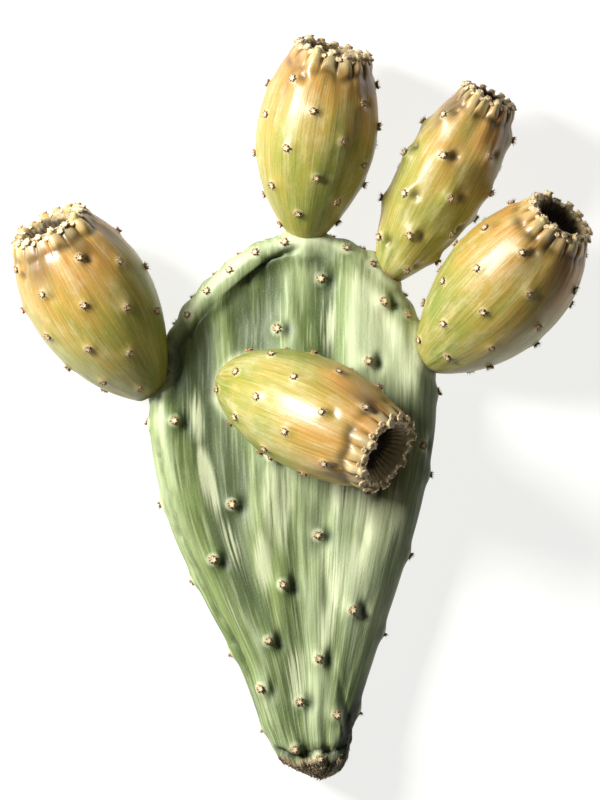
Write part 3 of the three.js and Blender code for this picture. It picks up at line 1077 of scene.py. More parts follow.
    def margin_at(self, y: Array) -> Array:
        """How far in from the outline the rounded margin reaches: less at the base."""
        less = self.margin_depth - self.base_margin_depth
        return self.margin_depth - less * smooth_step(*self.base_margin, y)

    def curl_at(self, x: Array, y: Array) -> Array:
        """How far both surfaces rise: by powers of the way up and of the way across."""
        up, across = np.maximum(0, y) / self.top_y, (x - self.centre[0]) / self.half_width
        return self.top_curl * up ** self.curl_powers[0] + self.side_curl * across ** self.curl_powers[1]

    def underside_at(self, x: Array, y: Array) -> Array:
        """The belly: a hyperbola's branch each way, less the flat spot's cut, plus the curl."""
        bowl = np.sqrt(1 + (x / self.belly_span[0]) ** 2 + (y / self.belly_span[1]) ** 2) - 1
        return bowl - self.belly_cut + self.curl_at(x, y)

    def face_at(self, x: Array, y: Array) -> Array:
        """Works out the face: it falls by the squares of the ways across and along.

        Args:
            x, y: The points.

        Returns:
            Its height, with the swelling of the neck and the curl.
        """
        across, along = (x - self.centre[0]) / self.half_width, y - self.centre[1]
        along = along / np.where(along > 0, self.top_y - self.centre[1], self.centre[1] - self.base_y)
        neck = self.neck_swell * smooth_step(*self.neck, along)
        return self.face_height - self.face_fall * (across**2 + along**2) + neck + self.curl_at(x, y)

    def sink_at(self, x: Array, y: Array, depth: Array) -> Array:
        """How far the face sinks inside the rolled margin, so deep inside the outline."""
        strength = smooth_step(*self.roll_rise, y) * (1 - self.roll_loss * smooth_step(*self.roll_right, x))
        band = smooth_step(*self.roll_foot, depth) * (1 - smooth_step(*self.roll_fade, depth))
        return self.roll_height * strength * band

    def middle_at(self, x: Array, y: Array) -> Array:
        """Halfway between the face and the underside, where the outline runs."""
        return (self.face_at(x, y) + self.underside_at(x, y)) / 2

    def height_at(self, x: Array, y: Array, side: Side) -> Array:
        """Works out one broad surface: from the outline in, a quarter ellipse leads up to it.

        Args:
            x, y: The points.
            side: The face or the underside.

        Returns:
            Its height.
        """
        depth = self.place(x, y)[2]
        inward = np.clip(depth / self.margin_at(y), 0, 1)
        middle = self.middle_at(x, y)
        facing = side is Side.FACE
        surface = self.face_at(x, y) - self.sink_at(x, y, depth) if facing else self.underside_at(x, y)
        return middle + (surface - middle) * np.sqrt(inward * (2 - inward))

    def normal_at(self, x: Array, y: Array, side: Side) -> Array:
        """Works out the outward normal from the slopes over a short reach each way.

        Args:
            x, y: The points.
            side: The face or the underside.

        Returns:
            The normal at each point.
        """
        reach = self.slope_reach
        slope_x = (self.height_at(x + reach, y, side) - self.height_at(x - reach, y, side)) / (2 * reach)
        slope_y = (self.height_at(x, y + reach, side) - self.height_at(x, y - reach, side)) / (2 * reach)
        return unit(stacked(-slope_x * side.value, -slope_y * side.value, float(side.value)))

    def clearance(self, points: Array) -> Array:
        """Measures how far points stand off the pad.

        Args:
            points: Points inside or outside it.

        Returns:
            How far they are over the face, under the underside or beside the outline.
        """
        x, y, z = np.moveaxis(points, -1, 0)
        share, _, depth = self.place(x, y)
        over = np.maximum(z - self.height_at(x, y, Side.FACE), self.height_at(x, y, Side.UNDERSIDE) - z)
        return np.where(share < 1, over, -depth)

    def moved_in(self, points: Array, share: Array) -> Array:
        """Outline points moved in towards the middle of the blade."""
        centre = np.array(self.centre)
        return centre + (points - centre) * np.asarray(share)[..., None]

    def across_grain(self, x: Array, y: Array) -> tuple[Array, Array]:
        """A coordinate across the streaks, which draw together towards the base, and how close they are."""
        left, right = self.span(np.minimum(y, self.widest_y))
        half = np.maximum((right - left) / 2, 1.0)
        return (x - (left + right) / 2) / half * self.half_width, half / self.half_width


@dataclass(frozen=True)
class Spots:
    """Points on the pad's plain skin, and what the shapes and marks on it are worked out from."""

    form: PadForm
    points: Array
    depth: Array  # how deep inside the outline each of them lies

    @cached_property
    def x(self) -> Array:
        """Their x."""
        return self.points[..., 0]

    @cached_property
    def y(self) -> Array:
        """Their y."""
        return self.points[..., 1]

    @cached_property
    def side(self) -> Array:
        """1 on the face, -1 on the underside and 0 halfway between them."""
        return np.sign(self.points[..., 2] - self.form.middle_at(self.x, self.y))

    @cached_property
    def on_face(self) -> Array:
        """Whether they lie on the face."""
        return self.side > 0

    @cached_property
    def grain(self) -> tuple[Array, Array]:
        """The coordinate across the streaks, and how much closer they run."""
        return self.form.across_grain(self.x, self.y)

    @cached_property
    def direction(self) -> Array:
        """The direction from the middle of the blade, in degrees between -180 and 180."""
        return np.degrees(np.arctan2(self.y - self.form.centre[1], self.x - self.form.centre[0]))

    @cached_property
    def from_right(self) -> Array:
        """How far they lie from the right edge."""
        return self.form.span(self.y)[1] - self.x

    def along_grain(self, hills: Hills) -> Array:
        """The height of hills that follow the streaks and differ on the two sides."""
        return hills.at(stacked(self.grain[0], self.y, self.side))


@dataclass(frozen=True)
class PadAreoles:
    """Where the pad's areoles stand: slanting rows on both sides, and a line along the margin."""

    form: PadForm
    rows: int = 9
    first_row: float = 10.4
    neck_pitch: float = 23
    neck_rows: int = 2
    blade_pitch: float = 28.6
    slope: float = 0.36
    start: float = -0.85
    step: float = 0.7
    per_row: int = 3
    row_depth: float = 4
    flank_spacing: float = 37
    crown_spacing: float = 14.5
    crown_arc: float = 217.5
    crown_inset: float = 4.5
    seat_clearance: float = 10.5
    floor_clearance: float = 2.4
    spacing: float = 10  # of two areoles nearer than this, only one stands
    rowed: Kind = Kind(1.4, 4.3, 1.9, 1.6)
    on_flank: Kind = Kind(1.3, 4.0, 0.0, 1.35)
    on_crown_edge: Kind = Kind(-1.5, 4.0, 0.0, 1.35)
    inside_crown: Kind = Kind(0.3, 3.2, 0.0, 1.45)

    def on_side(self, side: Side) -> Areoles:
        """Sets out the rows of one side. The underside's rows slant the other way.

        Args:
            side: The face or the underside.

        Returns:
            The areoles inside the outline and clear of the flat spot.
        """
        form = self.form
        places = np.meshgrid(np.arange(self.rows), np.arange(self.per_row), indexing="ij")
        row, k = (part.ravel() for part in places)
        row_y = form.base_y + self.first_row + self.neck_pitch * np.minimum(row, self.neck_rows)
        row_y = row_y + self.blade_pitch * np.maximum(row - self.neck_rows, 0)
        left, right = form.span(row_y)
        offset = (self.start + self.step * (k + ((row + 1) % 2) / 2)) * (right - left) / 2
        x = (left + right) / 2 + offset * side.value
        y = row_y - self.slope * offset
        keep = form.place(x, y)[2] > self.row_depth
        x, y = x[keep], y[keep]
        points = stacked(x, y, form.height_at(x, y, side))
        every = Areoles.alike(points, form.normal_at(x, y, side), self.rowed)
        return every.kept((side is Side.FACE) | (points[:, 2] > self.floor_clearance))

    def on_margin(self, lengths: Array, kind: Kind, inset: float = 0.0) -> Areoles:
        """Sets out areoles along the margin.

        Args:
            lengths: How far along the outline they stand, from the base.
            kind: What they are like.
            inset: How far in from the very edge they stand.

        Returns:
            The areoles.
        """
        form = self.form
        spots = form.along_outline(lengths)
        x, y = form.moved_in(spots, 1 - inset / form.place(*spots.T)[1]).T
        if inset:
            height, normals = form.height_at(x, y, Side.FACE), form.normal_at(x, y, Side.FACE)
        else:
            height = form.middle_at(x, y)
            normals = unit(np.pad(spots - np.array(form.centre), ((0, 0), (0, 1))))
        return Areoles.alike(stacked(x, y, height), normals, kind)

    def all(self, seats: Array) -> Areoles:
        """Sets out every areole of the pad.

        Args:
            seats: Where the fruits grow.

        Returns:
            The areoles that stand clear of the fruits and of each other.
        """
        flank = (self.form.length - self.crown_arc) / 2
        sides = np.arange(self.flank_spacing, flank, self.flank_spacing)
        crown = flank + np.arange(0, self.crown_arc, self.crown_spacing)
        every = Areoles.joined([
            self.on_margin(np.concatenate([sides, self.form.length - sides]), self.on_flank),
            self.on_margin(crown, self.on_crown_edge),
            self.on_margin(crown + self.crown_spacing / 2, self.inside_crown, self.crown_inset),
            self.on_side(Side.FACE),
            self.on_side(Side.UNDERSIDE),
        ])
        from_seats = np.linalg.norm(every.points[:, None] - seats[None], axis=-1)
        keep = from_seats.min(axis=1) > self.seat_clearance
        near = np.linalg.norm(every.points[:, None] - every.points[None], axis=-1) < self.spacing
        for k in range(len(keep)):
            keep[k] &= not (near[k, :k] & keep[:k]).any()
        return every.kept(keep)


@dataclass(frozen=True)
class Waves:
    """The waves that run lengthways on the pad, and the ridges and cross wrinkles of its neck."""

    broad: Hills = Hills(3, (15, 48, 0.2), 1.5)
    broad_height: float = 2.6
    broad_power: float = 0.7  # how fast they shrink where the streaks draw together
    fine: Hills = Hills(4, (6, 30, 0.2), 0.6)
    fine_power: float = 0.8
    edge: Span = (1, 11)  # how deep inside the outline they start and are whole
    ridges: Hills = Hills(5, (11, 26, 0.2), 0.7)
    ridge_rise: Span = (-105, -160)
    wrinkles: Hills = Hills(6, (13, 3.0, 0.2), 0.4)
    wrinkle_rise: Span = (-140, -172)

    def broad_at(self, spots: Spots) -> Array:
        """The broad waves, between -1 and 1, which fade at the margin and the neck."""
        size = spots.grain[1] ** self.broad_power * smooth_step(*self.edge, spots.depth)
        return np.clip(spots.along_grain(self.broad), -1, 1) * size

    def relief_at(self, spots: Spots) -> Array:
        """Adds up the waves, the ridges and the wrinkles.

        Args:
            spots: The points.

        Returns:
            How far the skin is raised.
        """
        calm = spots.grain[1] ** self.fine_power * smooth_step(*self.edge, spots.depth)
        total = self.broad_height * self.broad_at(spots) + spots.along_grain(self.fine) * calm
        total += spots.along_grain(self.ridges) * smooth_step(*self.ridge_rise, spots.y)
        wrinkles = self.wrinkles.at(stacked(spots.x, spots.y, spots.side))
        return total + wrinkles * smooth_step(*self.wrinkle_rise, spots.y)


@dataclass(frozen=True)
class Roll:
    """The rolled upper margin: the painted highlight along its ridge, the crease inside it with its painted
    shade, and the blade that sinks beyond.
    """

    line: tuple[Row, ...] = (  # the crease: direction, depth, strength, width
        (88, 7, 0.0, 1.2), (90.5, 7.5, 1.0, 1.2), (97, 10.5, 1.3, 1.3), (103, 13, 1.2, 1.5),
        (106.5, 13, 0.12, 1.3), (119, 10, 0.1, 1.3), (125, 8, 0.9, 1.3), (136, 5.5, 1.2, 2.8),
        (143, 5, 1.0, 2.2), (149, 4, 0.3, 1.2), (168, 3.8, 0.45, 1.1), (222, 3.4, 0.5, 1.0),
        (250, 3.0, 0.5, 0.9), (258, 2.6, 0.4, 0.9), (263, 2.4, 0.0, 0.9),
    )
    wander: tuple[Hills, Hills] = (Hills(9, 5.5, 1.9, 1), Hills(10, 2.4, 0.95, 1))
    least_wander: float = 0.2
    crease: float = 2.5
    arc: tuple[Span, Span] = ((60, 90), (185, 160))  # the directions where the margin is rolled
    swell: float = 1.0  # how far it swells
    swell_depth: float = 5.5  # how far in from the outline it is highest
    swell_reach: float = 4.0
    sunk: float = 1.1  # how much further the face sinks inside the crease
    sharp_edge: Span = (-1, 2)
    soft_edge: Span = (-2, 14)
    sunk_fade: Span = (38, 8)
    # the painted highlight along the top of the rolled margin
    pale_arc: tuple[Span, Span] = ((62, 92), (180, 150))
    pale_depth: float = 4.5
    pale_reach: float = 2.6
    pale_mean: float = 0.7
    pale_rag: Hills = Hills(12, 7, 0.3, 1)

    # the crease's strength also sets the painted shade laid along it
    def crease_at(self, spots: Spots) -> tuple[Array, Array, Array]:
        """Looks up the crease.

        Args:
            spots: The points.

        Returns:
            How deep it is, where 1 is as deep as it gives, how far inside it the spots lie, and how
            strong it is in their direction.
        """
        ways, depths, strengths, widths = np.array(self.line).T
        depth, strength, width = (
            np.interp(spots.direction % 360, ways, row) for row in (depths, strengths, widths)
        )
        wander = sum(hills.at(spots.points) for hills in self.wander)
        inside = spots.depth - depth - wander * np.clip(strength, self.least_wander, 1)
        return strength * spots.on_face * bump_at(inside, width), inside, strength

    def relief_at(self, spots: Spots) -> Array:
        """Lets the margin swell, cuts the crease and sinks the blade inside it.

        Args:
            spots: The points.

        Returns:
            How far the skin is raised.
        """
        crease, inside, strength = self.crease_at(spots)
        sharp = np.clip(strength, 0, 1)
        sharp_step, soft_step = (smooth_step(*edge, inside) for edge in (self.sharp_edge, self.soft_edge))
        step = sharp * sharp_step + (1 - sharp) * soft_step
        sunk = self.sunk * step * smooth_step(*self.sunk_fade, inside)
        swollen = self.swell * bump_at(spots.depth - self.swell_depth, self.swell_reach)
        return window(spots.direction, *self.arc) * spots.on_face * (swollen - sunk) - self.crease * crease

    def ridge_at(self, spots: Spots) -> Array:
        """How strong the painted highlight along the rolled margin's ridge is at the spots, between 0 and
        1.
        """
        ragged = self.pale_mean + self.pale_rag.at(spots.points)
        band = bump_at(spots.depth - self.pale_depth, self.pale_reach)
        return window(spots.direction, *self.pale_arc) * ragged * spots.on_face * band


@dataclass(frozen=True)
class Scar:
    """The scarred base of the pad: a groove, a lip below it, corky crust and dry shreds."""

    line: tuple[Span, ...] = (  # the groove
        (-18, -175.5), (-13, -176), (-7.5, -178.6), (-2, -176.6),
        (2, -175.6), (9, -176), (16, -174), (24, -168),
    )
    line_rag: Hills = Hills(8, 3.5, 0.8)
    edge: Span = (0.2, 2)  # how deep inside the outline the groove starts and is whole
    groove: float = 3.0
    groove_reach: float = 1.5
    lip: float = 1.2
    lip_drop: float = 3.6  # how far below the groove the lip is
    lip_reach: float = 2.0
    crust: Hills = Hills(7, (5, 4.5, 3), 1.1, 3)
    cork_rag: Hills = Hills(11, 9, 1.0, 3)
    base_rag: float = 1.2
    base: Span = (-1.0, -3.5)  # how far below the groove the cork starts and is whole
    # the cork colour carried up the right edge as painted shade
    edge_rag: float = 2.0
    edge_cork: Span = (4.5, 1.5)  # how far from the right edge it starts and is whole
    flank_rag: float = 8.0
    flank: Span = (-150, -172)  # and how far down that edge
    shred_seed: int = 23
    shred_count: int = 150
    shred_top: float = -172
    shred_cork: float = 0.6  # they grow where the skin is corkier than this
    shred_spread: float = 0.45
    shred_length: Span = (1.4, 4.0)
    shred_width: Span = (0.35, 1.0)
    shred_rise: Span = (0.1, 0.9)
    shred_thickness: float = 0.2
    shred_wear: float = 0.3

    def above(self, spots: Spots) -> Array:
        """How far above the groove the spots lie."""
        return spots.y - np.interp(spots.x, *np.array(self.line).T)

    def marks_at(self, spots: Spots) -> tuple[Array, Array]:
        """Looks up the groove and the lip below it.

        Args:
            spots: The points.

        Returns:
            How deep the groove is and how high the lip is, each between 0 and 1.
        """
        above = self.above(spots) + self.line_rag.at(spots.points)
        inside = smooth_step(*self.edge, spots.depth)
        groove, lip = bump_at(above, self.groove_reach), bump_at(above + self.lip_drop, self.lip_reach)
        return groove * inside, lip * inside

    def cork_at(self, spots: Spots) -> Array:
        """Looks up the cork at the scarred base, and the cork colour carried up the right margin above it
        as painted shade.

        Args:
            spots: The points.

        Returns:
            How corky the skin is, between 0 and 1; along the right margin this is painted shade.
        """
        ragged = self.cork_rag.at(spots.points)
        base = smooth_step(*self.base, self.above(spots) + self.base_rag * ragged)
        # cork colour as painted shade up the right edge
        edge = smooth_step(*self.edge_cork, spots.from_right + self.edge_rag * ragged)
        flank = edge * smooth_step(*self.flank, spots.y + self.flank_rag * ragged)
        return np.clip(np.maximum(base, flank), 0, 1)

    def relief_at(self, spots: Spots) -> Array:
        """How far the skin is raised by the lip and the crust, less the groove."""
        groove, lip = self.marks_at(spots)
        crust = self.crust.at(stacked(spots.grain[0], spots.y, spots.points[..., 2]))
        return self.lip * lip - self.groove * groove + crust * self.cork_at(spots)

    def shreds(self, rings: Array, normals: Array, cork: Array) -> Piece:
        """Makes the dry shreds: flat four-sided needles that point down over the scar's edge.

        Args:
            rings: The points of the finished skin.
            normals: The normals of the plain skin at those points.
            cork: How corky it is there.

        Returns:
            The object.
        """
        rng = np.random.default_rng(self.shred_seed)
        corky = np.argwhere((cork > self.shred_cork) & (rings[..., 1] < self.shred_top))
        row, column = corky[rng.choice(len(corky), self.shred_count, replace=False)].T
        foot, normal = rings[row, column], normals[row, column]
        spread = rng.uniform(-self.shred_spread, self.shred_spread, (self.shred_count, 3))
        down = np.array([0.0, -1.0, 0.0]) + spread
        way = unit(down - (down * normal).sum(axis=1, keepdims=True) * normal)
        spans = (self.shred_length, self.shred_width, self.shred_rise)
        length, width, rise = (rng.uniform(*span, (self.shred_count, 1)) for span in spans)
        half, thick = np.cross(normal, way) * width, normal * self.shred_thickness
        feet = np.stack([foot + side for side in (half, thick, -half, -thick)], axis=1)
        return needles("pad_scar", feet, foot + length * way + rise * normal, self.shred_wear)


@dataclass(frozen=True)
class PadMarks:
    """The pale wax patches on the face, partly painted light, the painted shade along the right edge, and
    the pale rings round the feet, partly painted reflection.
    """

    # patches of pale wax at fixed places, partly painted light
    patches: tuple[Row, ...] = (  # x, y, half width and length, lean
        (-47, -54, 4, 17, 0.26), (-16, -64, 7, 20, 0.0), (-22, -90, 4.2, 14, 0.0), (10, -98, 4.6, 15, 0.0),
        (13, -59, 6, 9, 0.0), (26, -67, 6.5, 16, 0.0), (38, -69, 4.6, 13, 0.1), (21, -92, 3.6, 14, 0.0),
        (7, -119, 4, 12, 0.0), (-7, -142, 4.4, 13, 0.0), (27.5, 26.5, 7.5, 18, 0.4), (42, -6, 4, 11, 0.0),
        (7, 16, 4, 12, 0.0), (-52, -26, 4, 12, 0.0), (-36, -84, 3.2, 13, 0.3),
    )
    # the painted shade along the right edge: its ragged border, the heights it spans, how wide and how soft
    # it is
    flank_rag: Hills = Hills(13, (5, 9, 5), 2.4)
    flank: tuple[Span, Span] = ((-15, -45), (-188, -182))  # the heights between which the edge is dark
    flank_width: float = 4.2
    flank_soft: float = 3.0
    neck: Span = (-138, -154)  # from here down it is wider and twice as dark
    neck_width: float = 1.3
    above_neck: float = 0.5
    base: Span = (-160, -172)  # and wider still
    base_width: float = 3.5
    # the pale ring round each fruit's foot, partly painted reflected light
    foot_ring: Triple = (0.75, 2.2, 2.0)  # how pale, how far out from the fruit and how wide it is

    def wax_at(self, spots: Spots) -> Array:
        """Lays a long round bump over each patch.

        Args:
            spots: The points.

        Returns:
            How thick the wax is, between 0 and 1; the patches are partly painted light.
        """
        total = np.zeros(spots.x.shape)
        for middle_x, middle_y, half_width, half_length, lean in self.patches:
            up = spots.y - middle_y
            off = np.hypot((spots.x - middle_x + lean * up) / half_width, up / half_length)
            total = np.maximum(total, bump_at(off, 1.0))
        return total * spots.on_face

    def flank_at(self, spots: Spots) -> Array:
        """Looks up the painted shade along the right edge.

        Args:
            spots: The points.

        Returns:
            How dark the painted shade is, between 0 and 1.
        """
        neck = smooth_step(*self.neck, spots.y)
        base = smooth_step(*self.base, spots.y)
        wide = self.flank_width + self.neck_width * neck + self.base_width * base
        strength = self.above_neck + (1 - self.above_neck) * neck
        inside = wide - spots.from_right - self.flank_rag.at(spots.points)
        return strength * window(spots.y, *self.flank) * smooth_step(0, self.flank_soft, inside)

    def foot_rings_at(self, spots: Spots, fruits: Sequence[Fruit]) -> Array:
        """How pale the skin is round each fruit's foot, partly painted reflected light."""
        (pale, out, reach), feet = self.foot_ring, [fruit.beyond_foot(spots.points) for fruit in fruits]
        return pale * bump_at(np.minimum.reduce(feet) - out, reach)


@dataclass(frozen=True)
class Pad:
    """The pad with its skin, areoles, bristles and scar."""

    form: PadForm
    stands: PadAreoles
    tufts: Tufts
    swellings: Swellings = Swellings(hollow_reach=(2.3, 4.2, 2.6), hollow_dark=1.15)
    waves: Waves = Waves()
    roll: Roll = Roll()
    scar: Scar = Scar()
    marks: PadMarks = PadMarks()
    columns: int = 512
    face_rings: int = 62
    margin_rings: int = 25
    collar: float = 1.3  # how high the skin rises round a fruit's foot
    collar_reach: float = 3.0
    collar_rise: Span = (-3, 0)
    grain_depth: float = 0.35  # how fast the streaks change with the height
    # how strong the rolled margin's painted highlight is in the pale rings and on the ridges
    pale_ridge: float = 0.6
    high_ridge: float = 1.3
    # how dark the painted shade in the scar's groove is
    dark_groove: float = 1.3
    # how dark the painted shade along the right edge is
    dark_flank: float = 1.2
    seed: int = 21

    def plain_skin(self) -> tuple[Skin, Array]:
        """Lays rings of points over the underside, round the rim and over the face.

        Returns:
            The skin without relief, and how deep inside the outline its points lie.
        """
        form = self.form
        edge = PadForm.evenly(form.outline, self.columns)
        support = form.place(edge[:, 0], edge[:, 1])[1]
        margin = form.margin_at(edge[:, 1])
        inner = (np.arange(1, self.face_rings + 1) / self.face_rings)[:, None] * (1 - margin / support)
        reach = 1 - np.cos(np.arange(self.margin_rings - 1, 0, -1) / self.margin_rings * (np.pi / 2))
        shares = np.concatenate([inner, 1 - margin * reach[:, None] / support])
        x, y = np.moveaxis(form.moved_in(edge[None], shares), -1, 0)
        sides = {side: stacked(x, y, form.height_at(x, y, side)) for side in Side}
        rim = stacked(edge[:, 0], edge[:, 1], form.middle_at(edge[:, 0], edge[:, 1]))
        rings = np.concatenate([sides[Side.UNDERSIDE], rim[None], sides[Side.FACE][::-1]])
        depth = (1 - shares) * support
        depths = np.concatenate([depth, np.zeros((1, self.columns)), depth[::-1]])
        middle = np.array(form.centre)
        poles = [np.append(middle, form.height_at(*middle, side)) for side in (Side.UNDERSIDE, Side.FACE)]
        return Skin("pad_skin", rings, *poles), depths

    def relief(self, spots: Spots, areoles: Areoles, fruits: Sequence[Fruit]) -> Array:
        """Adds up everything that stands off the plain form, along its normal.

        Args:
            spots: The points.
            areoles: The pad's areoles.
            fruits: The fruits, each with a low collar of skin round its foot.

        Returns:
            How far the skin stands off.
        """
        total = sum(part.relief_at(spots) for part in (self.waves, self.roll, self.scar))
        total += self.swellings.lift_at(spots.points, areoles)
        for fruit in fruits:
            beyond = fruit.beyond_foot(spots.points)
            ring = bump_at(np.maximum(beyond, 0), self.collar_reach)
            total += self.collar * ring * smooth_step(*self.collar_rise, beyond)
        return total

    def values(self, spots: Spots, areoles: Areoles, fruits: Sequence[Fruit]) -> dict[str, Array]:
        """Works out what the material reads at each corner.

        Args:
            spots: The points of the plain skin.
            areoles: The pad's areoles.
            fruits: The fruits on it.

        Returns:
            The values by their names.
        """
        halo, hollow = self.swellings.marks_at(spots.points, areoles)
        ridge = self.roll.ridge_at(spots)
        # pale rings round the areoles, the partly painted reflection round the feet and the rolled margin's
        # painted highlight
        halos = [halo, self.marks.foot_rings_at(spots, fruits), self.pale_ridge * ridge]
        # painted shade: the areoles' hollows, the crease, the scar's groove and the right edge
        hollows = [hollow, self.roll.crease_at(spots)[0], self.dark_groove * self.scar.marks_at(spots)[0]]
        hollows += [self.dark_flank * self.marks.flank_at(spots)]
        return {
            "grain": stacked(spots.grain[0], spots.y, self.grain_depth * spots.points[..., 2]),
            "wax": self.marks.wax_at(spots),
            "halo": np.maximum.reduce(halos),
            "hollow": np.maximum.reduce(hollows),
            # the waves' relief and the roll's painted highlight, which the material turns into painted
            # highlight and shade
            "ridge": np.clip(self.waves.broad_at(spots) + self.high_ridge * ridge, -1, 1),
            "cork": self.scar.cork_at(spots),
        }

    def build(self, fruits: Sequence[Fruit], materials: Materials) -> None:
        """Makes the pad's pieces.

        Args:
            fruits: The fruits that grow on it.
            materials: What the pieces are made of.
        """
        areoles = self.stands.all(np.array([fruit.form.seat for fruit in fruits]))
        skin, depth = self.plain_skin()
        normals = skin.normals()
        spots = Spots(self.form, skin.rings, depth)
        skin.values = self.values(spots, areoles, fruits)
        skin.rings = skin.rings + self.relief(spots, areoles, fruits)[..., None] * normals
        skin.rings[..., 2] = np.maximum(skin.rings[..., 2], 0)
        skin.first[2] = max(skin.first[2], 0)
        finish_piece(skin.build(), materials.pad, "pad")
        cork = self.scar.cork_at(Spots(self.form, skin.rings, depth))
        finish_piece(self.scar.shreds(skin.rings, normals, cork), materials.cork)
        depth = np.abs(self.form.place(areoles.points[:, 0], areoles.points[:, 1])[2])
        tufted = areoles.raised(self.relief(Spots(self.form, areoles.points, depth), areoles, fruits))
        self.tufts.build("pad", tufted, self.seed, materials)


# ---------------- the fruits


@dataclass(frozen=True)
class FruitForm:
    """The plain form of one fruit: its axis, its barrel and its sunken crown."""

    name: str
    seat: Triple
    crown: Triple
    bow: Triple
    radius: float
    widest: float
    foot: float
    rim: float
    areoles: int
    turn: float
    swollen: bool = False
    pit_turn: float = -1.3  # the turn towards which the navel's dark, partly a dry scar and partly painted shade, lies
    profile_power: float = 0.9
    seat_dome: float = 2.2
    lobes: int = 16
    first_areole: float = 0.09
    last_areole: float = 0.9
    pad_clearance: float = 4
    slope_reach: float = 1.5
    length_steps: int = 200

    def frames(self, share: Array | float) -> tuple[Array, Array, Array, Array]:
        """Follows the axis, a parabola from the seat to the crown that passes its bow halfway.

        Args:
            share: The shares of the axis, 0 at the seat and 1 at the crown.

        Returns:
            The points of the axis, its directions, and two directions across it.
        """
        seat, crown, bow = (np.array(part, dtype=float) for part in (self.seat, self.crown, self.bow))
        handle = (seat + crown) / 2 + 2 * bow
        t = np.asarray(share, dtype=float)[..., None]
        centre = (1 - t) ** 2 * seat + 2 * t * (1 - t) * handle + t**2 * crown
        along = unit(2 * (1 - t) * (handle - seat) + 2 * t * (crown - handle))
        sideways = unit(np.cross(np.array([0.0, 0.0, 1.0]), along))
        return centre, along, sideways, np.cross(along, sideways)

    @cached_property
    def length(self) -> float:
        """The length of the axis."""
        centre = self.frames(np.linspace(0, 1, self.length_steps))[0]
        return float(np.linalg.norm(np.diff(centre, axis=0), axis=1).sum())

    @cached_property
    def rim_radius(self) -> float:
        """The barrel's radius at the crown."""
        return float(self.radius_at(1.0))

    def radius_at(self, share: Array | float) -> Array:
        """Rounds the barrel: two arcs, from the foot and from the rim, that meet at the widest place.

        Args:
            share: The shares of the axis.

        Returns:
            The radius there.
        """
        share = np.asarray(share, dtype=float)
        below = share < self.widest
        end = np.where(below, self.foot, self.rim)
        off = np.where(below, 1 - share / self.widest, (share - self.widest) / (1 - self.widest))
        return self.radius * (end + (1 - end) * np.maximum(1 - off**2, 0) ** self.profile_power)

    def areole_places(self) -> tuple[Array, Array, Array, Array]:
        """Sets the areoles out on one spiral of golden turns.

        Returns:
            Their shares and turns, their points on the barrel and their directions outwards.
        """
        step = np.arange(self.areoles)
        share = self.first_areole + (self.last_areole - self.first_areole) * step / (self.areoles - 1)
        turn = self.turn + step * GOLDEN_TURN
        centre, along, sideways, upward = self.frames(share)
        reach = self.slope_reach / self.length
        rise = self.radius_at(share + reach) - self.radius_at(share - reach)
        out = turned(turn, sideways, upward)
        normal = unit(out - (rise / (2 * reach * self.length))[:, None] * along)
        return share, turn, centre + self.radius_at(share)[:, None] * out, normal


